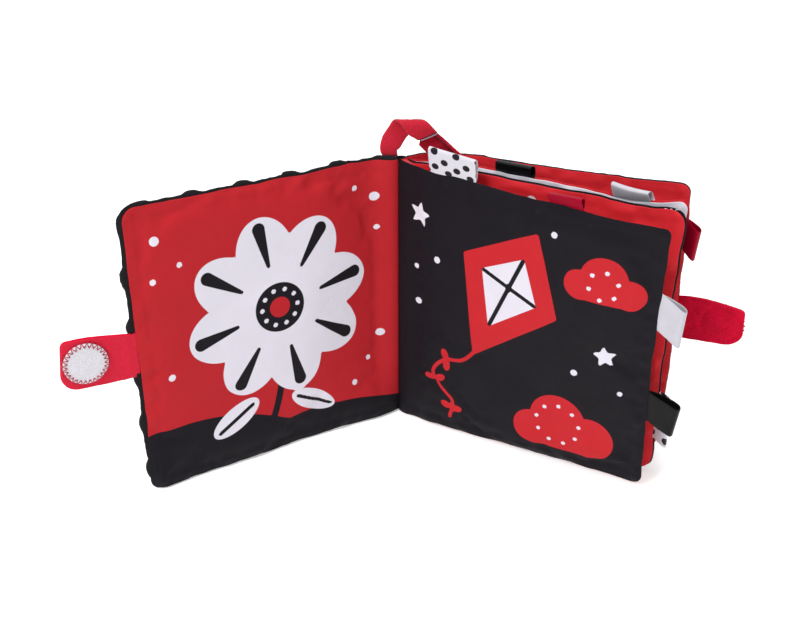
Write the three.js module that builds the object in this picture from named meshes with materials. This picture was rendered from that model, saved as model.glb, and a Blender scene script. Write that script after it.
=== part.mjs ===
// Crinkle cloth book for a baby, standing open on its lower edges.
// Five padded leaves meet at a sewn spine: a front cover on the left, then three leaves and the
// back cover fanned out on the right. Each leaf is two sewn fabric panels round wadding and a
// crackling film. Ribbon tabs stand out of the seams, a strap with a hook-and-loop disc stands out
// of each cover, and two straps at the top of the spine close to a hanging loop.
//
// Frame: millimetres, +Z up, origin on the surface that the book stands on, on the spine's axis.
// The reader looks along +Y, with the front cover at -X and the back cover at +X.
import * as THREE from "three";

// Leaf outline
const pageWidth = 145;
const pageHeight = 150;
const cornerRadius = 8;
const topDip = 0.8;
const foreDip = 1;

// Layers of a leaf, from face to face
const printThickness = 0.5;
const plushThickness = 1.4;
const filmThickness = 0.25;
const layerGap = 0.3;
const leafCavity = 2;
const coverCavity = 2.3;
const seamMargin = 3.5;
const crownRun = 9.5;

// Spine
const seamRadius = 4;
const spineGap = 0.35;
const spineTapeThickness = 0.6;
const spineTapeStartDeg = 56;
const spineTapeEndDeg = 172;

// Ribbon tabs
const ribbonThickness = 0.35;
const ribbonPlyGap = 0.12;
const tabGap = 0.3;
const narrowRibbonWidth = 17;
const broadRibbonWidth = 29;

// Closing straps
const strapWidth = 24.5;
const strapLength = 33;
const strapCentreHeight = 79;
const strapLiningThickness = 0.6;
const strapPlushThickness = 1.1;
const strapTopCorner = 4;
const strapLowerCorner = 9;
const strapGap = 0.7;
const strapTaperLength = 4;
const strapRootShare = 0.25;
const discDiameter = 21;
const discThickness = 1.1;
const discEndMargin = 0.9;
const discSides = 28;

// Hanging loop
const loopStrapThickness = 0.9;
const loopStrapWidth = 11.5;
const loopPatchThickness = 0.8;
const loopPatchWidth = 9.5;
const loopPatchLength = 4;
const loopPatchInset = 0.4;
const loopRise = 21.5;
const loopSpan = 19.5;
const loopBendRadius = 2.6;
const loopRootX = -6.2;
const loopRootY = 0.6;
const loopLeanBack = 2.2;
const loopEndDrop = 7.8;
const anchorStrapWidth = 12.5;
const anchorRootU = 21.5;
const anchorShow = 1.5;
const anchorOverlap = 5.6;

const degree = Math.PI / 180;
const fullTurnDeg = 360;

// Fabrics
const redPrint = new THREE.MeshStandardMaterial({ color: 0xc9302f, roughness: 0.72 });
const blackPrint = new THREE.MeshStandardMaterial({ color: 0x232027, roughness: 0.74 });
const whitePrint = new THREE.MeshStandardMaterial({ color: 0xe6e2ea, roughness: 0.72 });
const blackPlush = new THREE.MeshStandardMaterial({ color: 0x17161a, roughness: 0.95 });
const redPlush = new THREE.MeshStandardMaterial({ color: 0xb30a2d, roughness: 0.95 });
const redKnit = new THREE.MeshStandardMaterial({ color: 0xdc2340, roughness: 0.8 });
const crimsonSatin = new THREE.MeshStandardMaterial({ color: 0xc40d2e, roughness: 0.35 });
const blackSatin = new THREE.MeshStandardMaterial({ color: 0x1b1a1f, roughness: 0.35 });
const whiteSatin = new THREE.MeshStandardMaterial({ color: 0xe9e7ee, roughness: 0.35 });
const dottedSatin = new THREE.MeshStandardMaterial({ color: 0xe4e1ea, roughness: 0.4 });
const wadding = new THREE.MeshStandardMaterial({ color: 0xf2f1ee, roughness: 1 });
const film = new THREE.MeshStandardMaterial({ color: 0xd8dde2, roughness: 0.25 });
const hookTape = new THREE.MeshStandardMaterial({ color: 0xefeef0, roughness: 0.9 });
const seamThread = new THREE.MeshStandardMaterial({ color: 0x2a2730, roughness: 0.9 });

// Each leaf leaves the spine at seamDeg on the seam circle. Its plan view runs in the direction
// rootDeg there, turns to endDeg over rootBendShare of its width, and to tipDeg over the last
// tipRunShare. A pair holds the value at the lower edge and at the top edge. readSide is +1 where
// the reader's face lies clockwise of the leaf as seen from above, and -1 on the front cover.
const frontCover = {
  name: "front_cover",
  readSide: -1,
  seamDeg: -183,
  rootDeg: [-155, -158],
  endDeg: [-150, -149.5],
  tipDeg: [-150, -149.5],
  rootBendShare: 0.166,
  tipRunShare: 0.207,
  cavity: coverCavity,
  faces: [redPrint, blackPlush],
};
const leaf1 = {
  name: "leaf_1",
  readSide: 1,
  seamDeg: -50,
  rootDeg: [-50, -66],
  endDeg: [-29.5, -37.5],
  tipDeg: [-29.5, -31],
  rootBendShare: 0.207,
  tipRunShare: 0.31,
  cavity: leafCavity,
  faces: [blackPrint, redPrint],
};
const leaf2 = {
  name: "leaf_2",
  readSide: 1,
  seamDeg: -17,
  rootDeg: [-30, -50],
  endDeg: [-23, -28.5],
  tipDeg: [-23, -28.5],
  rootBendShare: 0.31,
  tipRunShare: 0.31,
  cavity: leafCavity,
  faces: [redPrint, blackPrint],
};
const leaf3 = {
  name: "leaf_3",
  readSide: 1,
  seamDeg: 14,
  rootDeg: [-9, -14],
  endDeg: [-22.5, -30.5],
  tipDeg: [-22.5, -30.5],
  rootBendShare: 0.22,
  tipRunShare: 0.31,
  cavity: leafCavity,
  faces: [whitePrint, redPrint],
};
const backCover = {
  name: "back_cover",
  readSide: 1,
  seamDeg: 46,
  rootDeg: [14, 14],
  endDeg: [-21.5, -21],
  tipDeg: [-21.5, -20],
  rootBendShare: 0.166,
  tipRunShare: 0.207,
  cavity: coverCavity,
  faces: [redPrint, blackPlush],
};
const leaves = [frontCover, leaf1, leaf2, leaf3, backCover];

// Grid lines across a leaf: the rim, the crown's ramp on shares of its run, then even bays
const rampShares = [0, 0.4, 1];
const widthBays = 6;
const heightBays = 5;
const rootStationShares = [0.28, 0.62];
const cornerStationShares = [0.45, 0.8];

const book = new THREE.Group();
book.name = "crinkle_cloth_book";

function ease(share) {
  const s = Math.min(Math.max(share, 0), 1);
  return s * s * (3 - 2 * s);
}

function mix(pair, share) {
  return pair[0] + (pair[1] - pair[0]) * share;
}

// Direction of a leaf in plan, in radians, at u from its seam and at a share of its height
function leafHeading(leaf, u, heightShare) {
  const root = mix(leaf.rootDeg, heightShare);
  const end = mix(leaf.endDeg, heightShare);
  const tip = mix(leaf.tipDeg, heightShare);
  const across = u / pageWidth;
  const rootPart = (root - end) * (1 - ease(across / leaf.rootBendShare));
  const tipPart = (tip - end) * ease((across - 1) / leaf.tipRunShare + 1);
  return (end + rootPart + tipPart) * degree;
}

// Plan position on a leaf's middle surface, found by short straight steps along it
function leafPlan(leaf, u, heightShare) {
  const steps = 40;
  const seam = leaf.seamDeg * degree;
  const at = new THREE.Vector2(Math.cos(seam), Math.sin(seam)).multiplyScalar(seamRadius);
  for (let k = 0; k < steps; k++) {
    const heading = leafHeading(leaf, (u * (k + 0.5)) / steps, heightShare);
    at.x += (Math.cos(heading) * u) / steps;
    at.y += (Math.sin(heading) * u) / steps;
  }
  return at;
}

// Unit vector out of the reader's face, level
function leafNormal(leaf, u, heightShare) {
  const heading = leafHeading(leaf, u, heightShare);
  return new THREE.Vector3(Math.sin(heading), -Math.cos(heading), 0).multiplyScalar(leaf.readSide);
}

function leafTangent(leaf, u, heightShare) {
  const heading = leafHeading(leaf, u, heightShare);
  return new THREE.Vector3(Math.cos(heading), Math.sin(heading), 0);
}

function cornerDrop(u) {
  const past = Math.max(u - (pageWidth - cornerRadius), 0);
  return cornerRadius - Math.sqrt(Math.max(cornerRadius ** 2 - past ** 2, 0));
}

function topEdge(u) {
  return pageHeight - cornerDrop(u) - topDip * Math.sin((Math.PI * u) / pageWidth);
}

// Place on a leaf: u and v are distances along the uncut rectangle, off is out of its face
function leafPoint(leaf, u, v, off) {
  const low = cornerDrop(u);
  const height = low + (v / pageHeight) * (topEdge(u) - low);
  const heightShare = height / pageHeight;
  const pulledIn = foreDip * Math.sin((Math.PI * v) / pageHeight) * ease(u / pageWidth) ** 4;
  const plan = leafPlan(leaf, u - pulledIn, heightShare);
  const point = new THREE.Vector3(plan.x, plan.y, height);
  return point.addScaledVector(leafNormal(leaf, u, heightShare), off);
}

// Point of the fore-edge at a real height
function foreEdgePoint(leaf, height) {
  const low = cornerDrop(pageWidth);
  const v = ((height - low) / (topEdge(pageWidth) - low)) * pageHeight;
  return leafPoint(leaf, pageWidth, v, 0);
}

// Half of the hollow between a leaf's two panels: shut at the rim, open over the crown
function halfCavity(leaf, u, v) {
  const sideRun = Math.min(u, pageWidth - u) - seamMargin;
  const endRun = Math.min(v, pageHeight - v) - seamMargin;
  const crown = ease(sideRun / crownRun) * ease(endRun / crownRun);
  return (layerGap + crown * (leaf.cavity - layerGap)) / 2;
}

function evenSteps(from, to, count) {
  return Array.from({ length: count + 1 }, (_, k) => from + ((to - from) * k) / count);
}

// Distances from an edge at which the rim and the crown's ramp need a grid line
const rimStations = rampShares.map((share) => seamMargin + share * crownRun);
const crownStart = seamMargin + crownRun;
const widthStations = [
  0,
  ...rimStations,
  ...evenSteps(crownStart, pageWidth - crownStart, widthBays).slice(1, -1),
  ...rootStationShares.map((share) => crownStart + (share * (pageWidth - 2 * crownStart)) / widthBays),
  ...rimStations.map((run) => pageWidth - run),
  ...cornerStationShares.map((share) => pageWidth - cornerRadius * (1 - share)),
  pageWidth,
].sort((a, b) => a - b);
const heightStations = [
  0,
  ...rimStations,
  ...evenSteps(crownStart, pageHeight - crownStart, heightBays).slice(1, -1),
  ...rimStations.map((run) => pageHeight - run),
  pageHeight,
].sort((a, b) => a - b);

// A closed solid between two grids of points that share their rows and columns
function sheetSolid(near, far) {
  const rows = near.length;
  const columns = near[0].length;
  const points = [...near.flat(), ...far.flat()];
  const faces = [];
  const index = (i, j, side) => side * rows * columns + i * columns + j;
  const quad = (a, b, c, d) => faces.push(a, b, c, a, c, d);
  for (let i = 0; i < rows - 1; i++) {
    for (let j = 0; j < columns - 1; j++) {
      quad(index(i, j, 0), index(i, j + 1, 0), index(i + 1, j + 1, 0), index(i + 1, j, 0));
      quad(index(i, j, 1), index(i + 1, j, 1), index(i + 1, j + 1, 1), index(i, j + 1, 1));
    }
  }
  for (let i = 0; i < rows - 1; i++) {
    const last = columns - 1;
    quad(index(i, 0, 0), index(i + 1, 0, 0), index(i + 1, 0, 1), index(i, 0, 1));
    quad(index(i, last, 0), index(i, last, 1), index(i + 1, last, 1), index(i + 1, last, 0));
  }
  for (let j = 0; j < columns - 1; j++) {
    const last = rows - 1;
    quad(index(0, j, 0), index(0, j, 1), index(0, j + 1, 1), index(0, j + 1, 0));
    quad(index(last, j, 0), index(last, j + 1, 0), index(last, j + 1, 1), index(last, j, 1));
  }
  const geometry = new THREE.BufferGeometry().setFromPoints(points);
  geometry.setIndex(facesOutward(points, faces));
  geometry.computeVertexNormals();
  return geometry;
}

// Turns the faces round where they would point into the solid
function facesOutward(points, faces) {
  let volume = 0;
  for (let k = 0; k < faces.length; k += 3) {
    const [a, b, c] = [points[faces[k]], points[faces[k + 1]], points[faces[k + 2]]];
    volume += a.dot(new THREE.Vector3().crossVectors(b, c));
  }
  return volume < 0 ? faces.reverse() : faces;
}

function addMesh(name, geometry, material) {
  const mesh = new THREE.Mesh(geometry, material);
  mesh.name = name;
  book.add(mesh);
  return mesh;
}

// One layer of a leaf over a set of grid lines, between two offsets that follow the hollow
function layerSolid(leaf, us, vs, nearOff, farOff) {
  const grid = (off) =>
    us.map((u) => vs.map((v) => leafPoint(leaf, u, v, off(halfCavity(leaf, u, v)))));
  return sheetSolid(grid(nearOff), grid(farOff));
}

// Fabric panels, wadding and film of one leaf
function addLeaf(leaf) {
  const [readFace, farFace] = leaf.faces;
  const isCover = farFace === blackPlush;
  const farThickness = isCover ? plushThickness : printThickness;
  const pageName = isCover ? leaf.name + "_page" : leaf.name + "_front_page";
  const farName = isCover ? leaf.name + "_plush" : leaf.name + "_back_page";
  const innerUs = widthStations.filter((u) => u >= crownStart && u <= pageWidth - crownStart);
  const innerVs = heightStations.filter((v) => v >= crownStart && v <= pageHeight - crownStart);
  const page = layerSolid(
    leaf,
    widthStations,
    heightStations,
    (half) => half,
    (half) => half + printThickness,
  );
  const far = layerSolid(
    leaf,
    widthStations,
    heightStations,
    (half) => -half,
    (half) => -half - farThickness,
  );
  const sheet = layerSolid(
    leaf,
    innerUs,
    innerVs,
    (half) => half - layerGap - filmThickness,
    (half) => half - layerGap,
  );
  const pad = layerSolid(
    leaf,
    innerUs,
    innerVs,
    (half) => -half + layerGap,
    (half) => half - 2 * layerGap - filmThickness,
  );
  addMesh(pageName, page, readFace);
  addMesh(farName, far, farFace);
  addMesh(leaf.name + "_wadding", pad, wadding);
  addMesh(leaf.name + "_film", sheet, film);
}

// Spine: the seam allowances sewn in one stack, and the plush tape over their back
function spineArc(radius, fromDeg, toDeg, steps) {
  return evenSteps(fromDeg, toDeg, steps).map((deg) => {
    const angle = deg * degree;
    return new THREE.Vector2(Math.cos(angle), Math.sin(angle)).multiplyScalar(radius);
  });
}

function extrudeUp(outline, height) {
  const shape = new THREE.Shape(outline);
  return new THREE.ExtrudeGeometry(shape, { depth: height, bevelEnabled: false, steps: 1 });
}

const spineRadius = seamRadius - spineGap;
const tapeInnerRadius = spineRadius - spineTapeThickness;
const spineHeight = pageHeight - topDip;

function addSpine() {
  const steps = 12;
  const sideGapDeg = spineGap / spineRadius / degree;
  const coreStartDeg = spineTapeEndDeg + sideGapDeg;
  const coreEndDeg = spineTapeStartDeg - sideGapDeg;
  const coreRadius = tapeInnerRadius - spineGap;
  const tapeBack = spineArc(spineRadius, spineTapeStartDeg, spineTapeEndDeg, steps);
  const tapeFront = spineArc(tapeInnerRadius, spineTapeEndDeg, spineTapeStartDeg, steps);
  const coreFront = spineArc(spineRadius, coreStartDeg, coreEndDeg + fullTurnDeg, 2 * steps);
  const coreBack = spineArc(coreRadius, coreEndDeg, coreStartDeg, steps);
  addMesh("spine_tape", extrudeUp([...tapeBack, ...tapeFront], spineHeight), blackPlush);
  addMesh("spine_seam_stack", extrudeUp([...coreFront, ...coreBack], spineHeight), seamThread);
}

// Ribbon tabs: a length of ribbon folded to a loop, its two ends sewn into a leaf's seam.
// The loop's outline, from one end to the other, as shares of its bulge and its reach
const tabLoopShares = [
  [0, 0],
  [-0.55, 0.16],
  [-1, 0.42],
  [-0.95, 0.7],
  [-0.6, 0.92],
  [0, 1],
  [0.6, 0.92],
  [0.95, 0.7],
  [1, 0.42],
  [0.55, 0.16],
  [0, 0],
];

const tabWidthShares = [0, 0.5, 1];

// A strip of even thickness along a flat path; gives its inner and outer line
function thicken(path, thickness) {
  return path.map((point, k) => {
    const before = path[Math.max(k - 1, 0)];
    const after = path[Math.min(k + 1, path.length - 1)];
    const along = new THREE.Vector2().subVectors(after, before).normalize();
    const across = new THREE.Vector2(-along.y, along.x).multiplyScalar(thickness / 2);
    return [point.clone().sub(across), point.clone().add(across)];
  });
}

function tabPath(tab) {
  const plyOffset = (ribbonPlyGap + ribbonThickness) / 2;
  const half = (tabLoopShares.length - 1) / 2;
  return tabLoopShares.map(([offShare, outShare], k) => {
    const side = Math.sign(k - half);
    const widthShare = offShare * tab.bulgeShare + outShare ** 2 * tab.leanShare;
    const off = side * plyOffset + widthShare * tab.width;
    return new THREE.Vector2(off, tabGap + outShare * tab.reachShare * tab.width);
  });
}

// Where the ribbon's foot line and its outward direction lie, for a top edge and a fore-edge
function tabFrame(tab, across) {
  if (tab.edge === "top") {
    const u = tab.startShare * pageWidth + across * tab.width;
    const height = topEdge(u);
    const plan = leafPlan(tab.leaf, u, 1);
    return {
      foot: new THREE.Vector3(plan.x, plan.y, height),
      out: new THREE.Vector3(0, 0, 1),
      normal: leafNormal(tab.leaf, u, 1),
      slip: leafTangent(tab.leaf, u, 1),
    };
  }
  const height = tab.startShare * pageHeight + across * tab.width;
  const share = height / pageHeight;
  return {
    foot: foreEdgePoint(tab.leaf, height),
    out: leafTangent(tab.leaf, pageWidth, share),
    normal: leafNormal(tab.leaf, pageWidth, share),
    slip: new THREE.Vector3(0, 0, 1),
  };
}

function addTab(tab) {
  const lines = thicken(tabPath(tab), ribbonThickness);
  const grid = (ply) =>
    lines.map((line) =>
      tabWidthShares.map((across) => {
        const frame = tabFrame(tab, across);
        const outShare = (line[ply].y - tabGap) / (tab.reachShare * tab.width);
        return frame.foot
          .clone()
          .addScaledVector(frame.normal, line[ply].x)
          .addScaledVector(frame.out, line[ply].y)
          .addScaledVector(frame.slip, outShare * tab.slipShare * tab.width);
      }),
    );
  addMesh(tab.name, sheetSolid(grid(0), grid(1)), tab.material);
}

// startShare is the ribbon's first side as a share of the edge that it is sewn into. Its reach,
// bulge, lean and slip along the edge are shares of its own width
const tabs = [
  {
    name: "dotted_top_tab",
    leaf: leaf1,
    edge: "top",
    width: broadRibbonWidth,
    startShare: 0.148,
    reachShare: 0.4,
    bulgeShare: 0.07,
    leanShare: 0.05,
    slipShare: 0,
    material: dottedSatin,
  },
  {
    name: "crimson_top_tab",
    leaf: leaf1,
    edge: "top",
    width: narrowRibbonWidth,
    startShare: 0.607,
    reachShare: 0.44,
    bulgeShare: 0.095,
    leanShare: 0.3,
    slipShare: 0,
    material: crimsonSatin,
  },
  {
    name: "black_top_tab",
    leaf: leaf3,
    edge: "top",
    width: narrowRibbonWidth,
    startShare: 0.338,
    reachShare: 0.41,
    bulgeShare: 0.08,
    leanShare: 0.06,
    slipShare: 0,
    material: blackSatin,
  },
  {
    name: "white_top_tab",
    leaf: leaf3,
    edge: "top",
    width: narrowRibbonWidth,
    startShare: 0.759,
    reachShare: 0.32,
    bulgeShare: 0.07,
    leanShare: 0.06,
    slipShare: 0,
    material: whiteSatin,
  },
  {
    name: "white_side_tab",
    leaf: leaf1,
    edge: "fore",
    width: narrowRibbonWidth,
    startShare: 0.647,
    reachShare: 0.765,
    bulgeShare: 0.12,
    leanShare: 0.06,
    slipShare: -0.35,
    material: whiteSatin,
  },
  {
    name: "black_side_tab",
    leaf: leaf1,
    edge: "fore",
    width: narrowRibbonWidth,
    startShare: 0.284,
    reachShare: 0.88,
    bulgeShare: 0.105,
    leanShare: 0.06,
    slipShare: -0.18,
    material: blackSatin,
  },
  {
    name: "crimson_side_tab",
    leaf: leaf3,
    edge: "fore",
    width: narrowRibbonWidth,
    startShare: 0.833,
    reachShare: 0.53,
    bulgeShare: 0.095,
    leanShare: 0.03,
    slipShare: -0.06,
    material: crimsonSatin,
  },
  {
    name: "dotted_side_tab",
    leaf: leaf2,
    edge: "fore",
    width: broadRibbonWidth,
    startShare: 0.147,
    reachShare: 0.345,
    bulgeShare: 0.06,
    leanShare: 0.017,
    slipShare: -0.035,
    material: dottedSatin,
  },
];

// Closing straps: a plush layer and a knit lining, thinned at the seam, with a hook or a loop
// disc on the lining. liningSide is +1 where the lining faces the reader
const strapStationShares = [0, 0.5];
const strapEndShares = [0.35, 0.7, 0.9, 1];
const strapCrossShares = [0, 0.25, 0.5, 0.75, 1];

function strapFrame(strap) {
  const share = strapCentreHeight / pageHeight;
  const foot = foreEdgePoint(strap.leaf, strapCentreHeight);
  const heading = strap.headingDeg * degree;
  const out = new THREE.Vector3(Math.cos(heading), Math.sin(heading), 0);
  const side = strap.leaf.readSide * strap.liningSide;
  const normal = new THREE.Vector3(out.y, -out.x, 0).multiplyScalar(side);
  foot.addScaledVector(leafTangent(strap.leaf, pageWidth, share), strapGap);
  return { foot, out, normal };
}

function strapLayer(strap, nearOff, farOff) {
  const frame = strapFrame(strap);
  const endRun = strapLength - strapLowerCorner;
  const alongs = [
    0,
    ...strapStationShares.map((share) => strapTaperLength + share * (endRun - strapTaperLength)),
    ...strapEndShares.map((share) => endRun + share * strapLowerCorner),
  ];
  const drop = (along, radius) => {
    const past = Math.max(along - (strapLength - radius), 0);
    return radius - Math.sqrt(Math.max(radius ** 2 - past ** 2, 0));
  };
  const grid = (nearSide, thickness) =>
    alongs.map((along) => {
      const low = -strapWidth / 2 + drop(along, strapLowerCorner);
      const high = strapWidth / 2 - drop(along, strapTopCorner);
      const full = Math.min(strapRootShare + ((1 - strapRootShare) * along) / strapTaperLength, 1);
      const off = nearSide + thickness * full;
      return strapCrossShares.map((share) =>
        frame.foot
          .clone()
          .addScaledVector(frame.out, along)
          .addScaledVector(frame.normal, off)
          .add(new THREE.Vector3(0, 0, low + share * (high - low))),
      );
    });
  return sheetSolid(grid(nearOff, 0), grid(nearOff, farOff - nearOff));
}

function addDisc(strap, nearOff) {
  const frame = strapFrame(strap);
  const radius = discDiameter / 2;
  const geometry = new THREE.CylinderGeometry(radius, radius, discThickness, discSides);
  const mesh = addMesh(strap.discName, geometry, hookTape);
  mesh.position
    .copy(frame.foot)
    .addScaledVector(frame.out, strapLength - discEndMargin - radius)
    .addScaledVector(frame.normal, nearOff + discThickness / 2);
  mesh.quaternion.setFromUnitVectors(new THREE.Vector3(0, 1, 0), frame.normal);
}

function addStrap(strap) {
  const plushNear = -layerGap / 2;
  const plushFar = plushNear - strapPlushThickness;
  const liningNear = layerGap / 2;
  const liningFar = liningNear + strapLiningThickness;
  addMesh(strap.name + "_plush", strapLayer(strap, plushNear, plushFar), redPlush);
  addMesh(strap.name + "_lining", strapLayer(strap, liningNear, liningFar), redKnit);
  addDisc(strap, liningFar + layerGap);
}

const straps = [
  {
    name: "front_strap",
    leaf: frontCover,
    headingDeg: -153,
    liningSide: 1,
    discName: "hook_disc",
  },
  {
    name: "back_strap",
    leaf: backCover,
    headingDeg: -27,
    liningSide: -1,
    discName: "loop_disc",
  },
];

// Hanging loop. The left strap rises from the front cover's seam and folds forward over a level
// bend. Its flat pattern is a path: shares of the loop's span, and of the rise, bend and drop runs
const foldHeight = pageHeight + loopRise - loopBendRadius;
const riseRun = foldHeight - pageHeight - tabGap;
const bendRun = Math.PI * loopBendRadius;
const risePathShares = [
  [0, 0],
  [-0.01, 0.22],
  [0.12, 0.47],
  [0.29, 0.76],
  [0.42, 1],
];
const bendPathShares = [
  [0.49, 0.25],
  [0.57, 0.5],
  [0.64, 0.75],
  [0.72, 1],
];
const dropPathShares = [
  [0.82, 0.36],
  [1, 1],
];
const pathPoint = (run, length) => ([xShare, runShare]) =>
  new THREE.Vector2(loopRootX + xShare * loopSpan, run + runShare * length);
const hangPath = [
  ...risePathShares.map(pathPoint(0, riseRun)),
  ...bendPathShares.map(pathPoint(riseRun, bendRun)),
  ...dropPathShares.map(pathPoint(riseRun + bendRun, loopEndDrop)),
];
const hangTopY = loopRootY + loopLeanBack;
const hangFrontY = hangTopY - 2 * loopBendRadius;

// Place in space of a point of the flat pattern; off is measured out of the strap's outer face
function foldedPoint(flat, off) {
  const run = flat.y;
  if (run <= riseRun) {
    const y = loopRootY + loopLeanBack * ease(run / riseRun);
    return new THREE.Vector3(flat.x, y + off, pageHeight + tabGap + run);
  }
  if (run < riseRun + bendRun) {
    const angle = (run - riseRun) / loopBendRadius;
    const radius = loopBendRadius + off;
    const y = hangTopY - loopBendRadius + radius * Math.cos(angle);
    return new THREE.Vector3(flat.x, y, foldHeight + radius * Math.sin(angle));
  }
  return new THREE.Vector3(flat.x, hangFrontY - off, foldHeight - (run - riseRun - bendRun));
}

// Unit vector across the flat pattern at one of its points; the root lies level in the seam
function acrossFlat(path, k) {
  if (k === 0) return new THREE.Vector2(1, 0);
  const before = path[k - 1];
  const after = path[Math.min(k + 1, path.length - 1)];
  const along = new THREE.Vector2().subVectors(after, before).normalize();
  return new THREE.Vector2(along.y, -along.x);
}

const crossShares = [-0.5, 0, 0.5];

function foldedStrip(path, width, nearOff, farOff) {
  const grid = (off) =>
    path.map((flat, k) =>
      crossShares.map((share) => {
        const across = acrossFlat(path, k).multiplyScalar(share * width);
        return foldedPoint(flat.clone().add(across), off);
      }),
    );
  return sheetSolid(grid(nearOff), grid(farOff));
}

const patchSideShares = [-0.5, 0.5];

// Hook patch under the left strap's end and loop patch on the right strap, face to face
function patchSolid(endInset, nearY, farY) {
  const end = hangPath.at(-1);
  const along = new THREE.Vector2().subVectors(end, hangPath.at(-2)).normalize();
  const across = new THREE.Vector2(along.y, -along.x);
  const grid = (y) =>
    [endInset, endInset + loopPatchLength].map((inset) =>
      patchSideShares.map((share) => {
        const flat = end.clone().addScaledVector(along, -inset);
        flat.addScaledVector(across, share * loopPatchWidth);
        return foldedPoint(flat, 0).setY(y);
      }),
    );
  return sheetSolid(grid(nearY), grid(farY));
}

const anchorStationShares = [0, 0.35, 0.7];

// Right strap: from the back cover's top seam to its end behind the left strap
function anchorStations() {
  const end = hangPath.at(-1);
  const along = new THREE.Vector2().subVectors(end, hangPath.at(-2)).normalize();
  const endPlace = foldedPoint(end, 0);
  const down = new THREE.Vector3(along.x, 0, -along.y);
  const across = new THREE.Vector3(along.y, 0, along.x);
  const lap = endPlace.clone().setY(anchorY).addScaledVector(down, anchorShow);
  const root = leafPlan(backCover, anchorRootU, 1);
  const rootPlace = new THREE.Vector3(root.x, root.y, pageHeight + tabGap);
  const rootAcross = leafTangent(backCover, anchorRootU, 1);
  const between = (share) => ({
    centre: rootPlace.clone().lerp(lap, share),
    across: rootAcross.clone().lerp(across, share).normalize(),
  });
  return [
    ...anchorStationShares.map(between),
    { centre: lap, across },
    { centre: lap.clone().addScaledVector(down, -anchorShow - anchorOverlap), across },
  ];
}

function ribbonStrip(stations, width, thickness) {
  const grid = (side) =>
    stations.map((station, k) => {
      const before = stations[Math.max(k - 1, 0)].centre;
      const after = stations[Math.min(k + 1, stations.length - 1)].centre;
      const along = new THREE.Vector3().subVectors(after, before);
      const normal = new THREE.Vector3().crossVectors(along, station.across).normalize();
      return crossShares.map((share) =>
        station.centre
          .clone()
          .addScaledVector(station.across, share * width)
          .addScaledVector(normal, (side * thickness) / 2),
      );
    });
  return sheetSolid(grid(-1), grid(1));
}

const hookPatchY = hangFrontY + loopStrapThickness / 2 + layerGap;
const loopPatchY = hookPatchY + loopPatchThickness + layerGap;
const anchorY = loopPatchY + loopPatchThickness + layerGap + loopStrapThickness / 2;

function addHangingLoop() {
  const half = loopStrapThickness / 2;
  addMesh("hanging_strap", foldedStrip(hangPath, loopStrapWidth, -half, half), redKnit);
  addMesh(
    "hanging_hook_patch",
    patchSolid(loopPatchInset, hookPatchY, hookPatchY + loopPatchThickness),
    hookTape,
  );
  addMesh(
    "anchor_loop_patch",
    patchSolid(loopPatchInset, loopPatchY, loopPatchY + loopPatchThickness),
    hookTape,
  );
  const anchor = ribbonStrip(anchorStations(), anchorStrapWidth, loopStrapThickness);
  addMesh("anchor_strap", anchor, redKnit);
}

leaves.forEach(addLeaf);
addSpine();
tabs.forEach(addTab);
straps.forEach(addStrap);
addHangingLoop();

export default book;
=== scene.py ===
"""Looks of the crinkle cloth book: padded leaves, prints, minky plush, ribbon tabs and straps."""

import math

import bpy
import numpy as np
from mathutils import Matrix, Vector


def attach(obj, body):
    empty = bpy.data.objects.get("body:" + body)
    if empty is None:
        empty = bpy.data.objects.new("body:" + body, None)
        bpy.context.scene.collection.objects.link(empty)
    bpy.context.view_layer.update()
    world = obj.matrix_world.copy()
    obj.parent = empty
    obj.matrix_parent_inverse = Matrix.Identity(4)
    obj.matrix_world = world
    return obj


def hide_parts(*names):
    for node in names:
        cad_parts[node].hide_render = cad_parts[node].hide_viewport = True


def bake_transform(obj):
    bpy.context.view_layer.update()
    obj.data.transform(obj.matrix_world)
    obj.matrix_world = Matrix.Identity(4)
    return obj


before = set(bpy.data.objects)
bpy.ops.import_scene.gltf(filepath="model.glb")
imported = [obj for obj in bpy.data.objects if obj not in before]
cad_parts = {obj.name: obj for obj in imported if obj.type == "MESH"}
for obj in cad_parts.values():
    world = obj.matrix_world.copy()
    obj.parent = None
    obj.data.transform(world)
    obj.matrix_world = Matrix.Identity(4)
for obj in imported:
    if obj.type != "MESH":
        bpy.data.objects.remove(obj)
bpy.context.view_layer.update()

# Lengths are in millimetres here, and every mesh is made in metres.
MM = 0.001

# ------------------------------------------------------------------ camera
camera = bpy.data.objects.new("camera", bpy.data.cameras.new("camera"))
bpy.context.scene.collection.objects.link(camera)
camera.location = (-0.0003, -0.4992, 0.3270)
camera.rotation_euler = (math.radians(90 - 28.5), 0, 0)
camera.data.sensor_width = 36
camera.data.lens = 46.71
camera.data.clip_start = 0.02
camera.data.clip_end = 20
bpy.context.scene.camera = camera

# ------------------------------------------------------------------ leaves, as the frame has them
PAGE_W, PAGE_H = 145.0, 150.0
TOP_DIP, FORE_DIP = 0.8, 1.0
PRINT_T, PLUSH_T = 0.5, 1.4
LAYER_GAP = 0.3
SEAM_MARGIN, CROWN_RUN = 3.5, 9.5
SEAM_R, GUTTER_R = 4.0, 3.84

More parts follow.
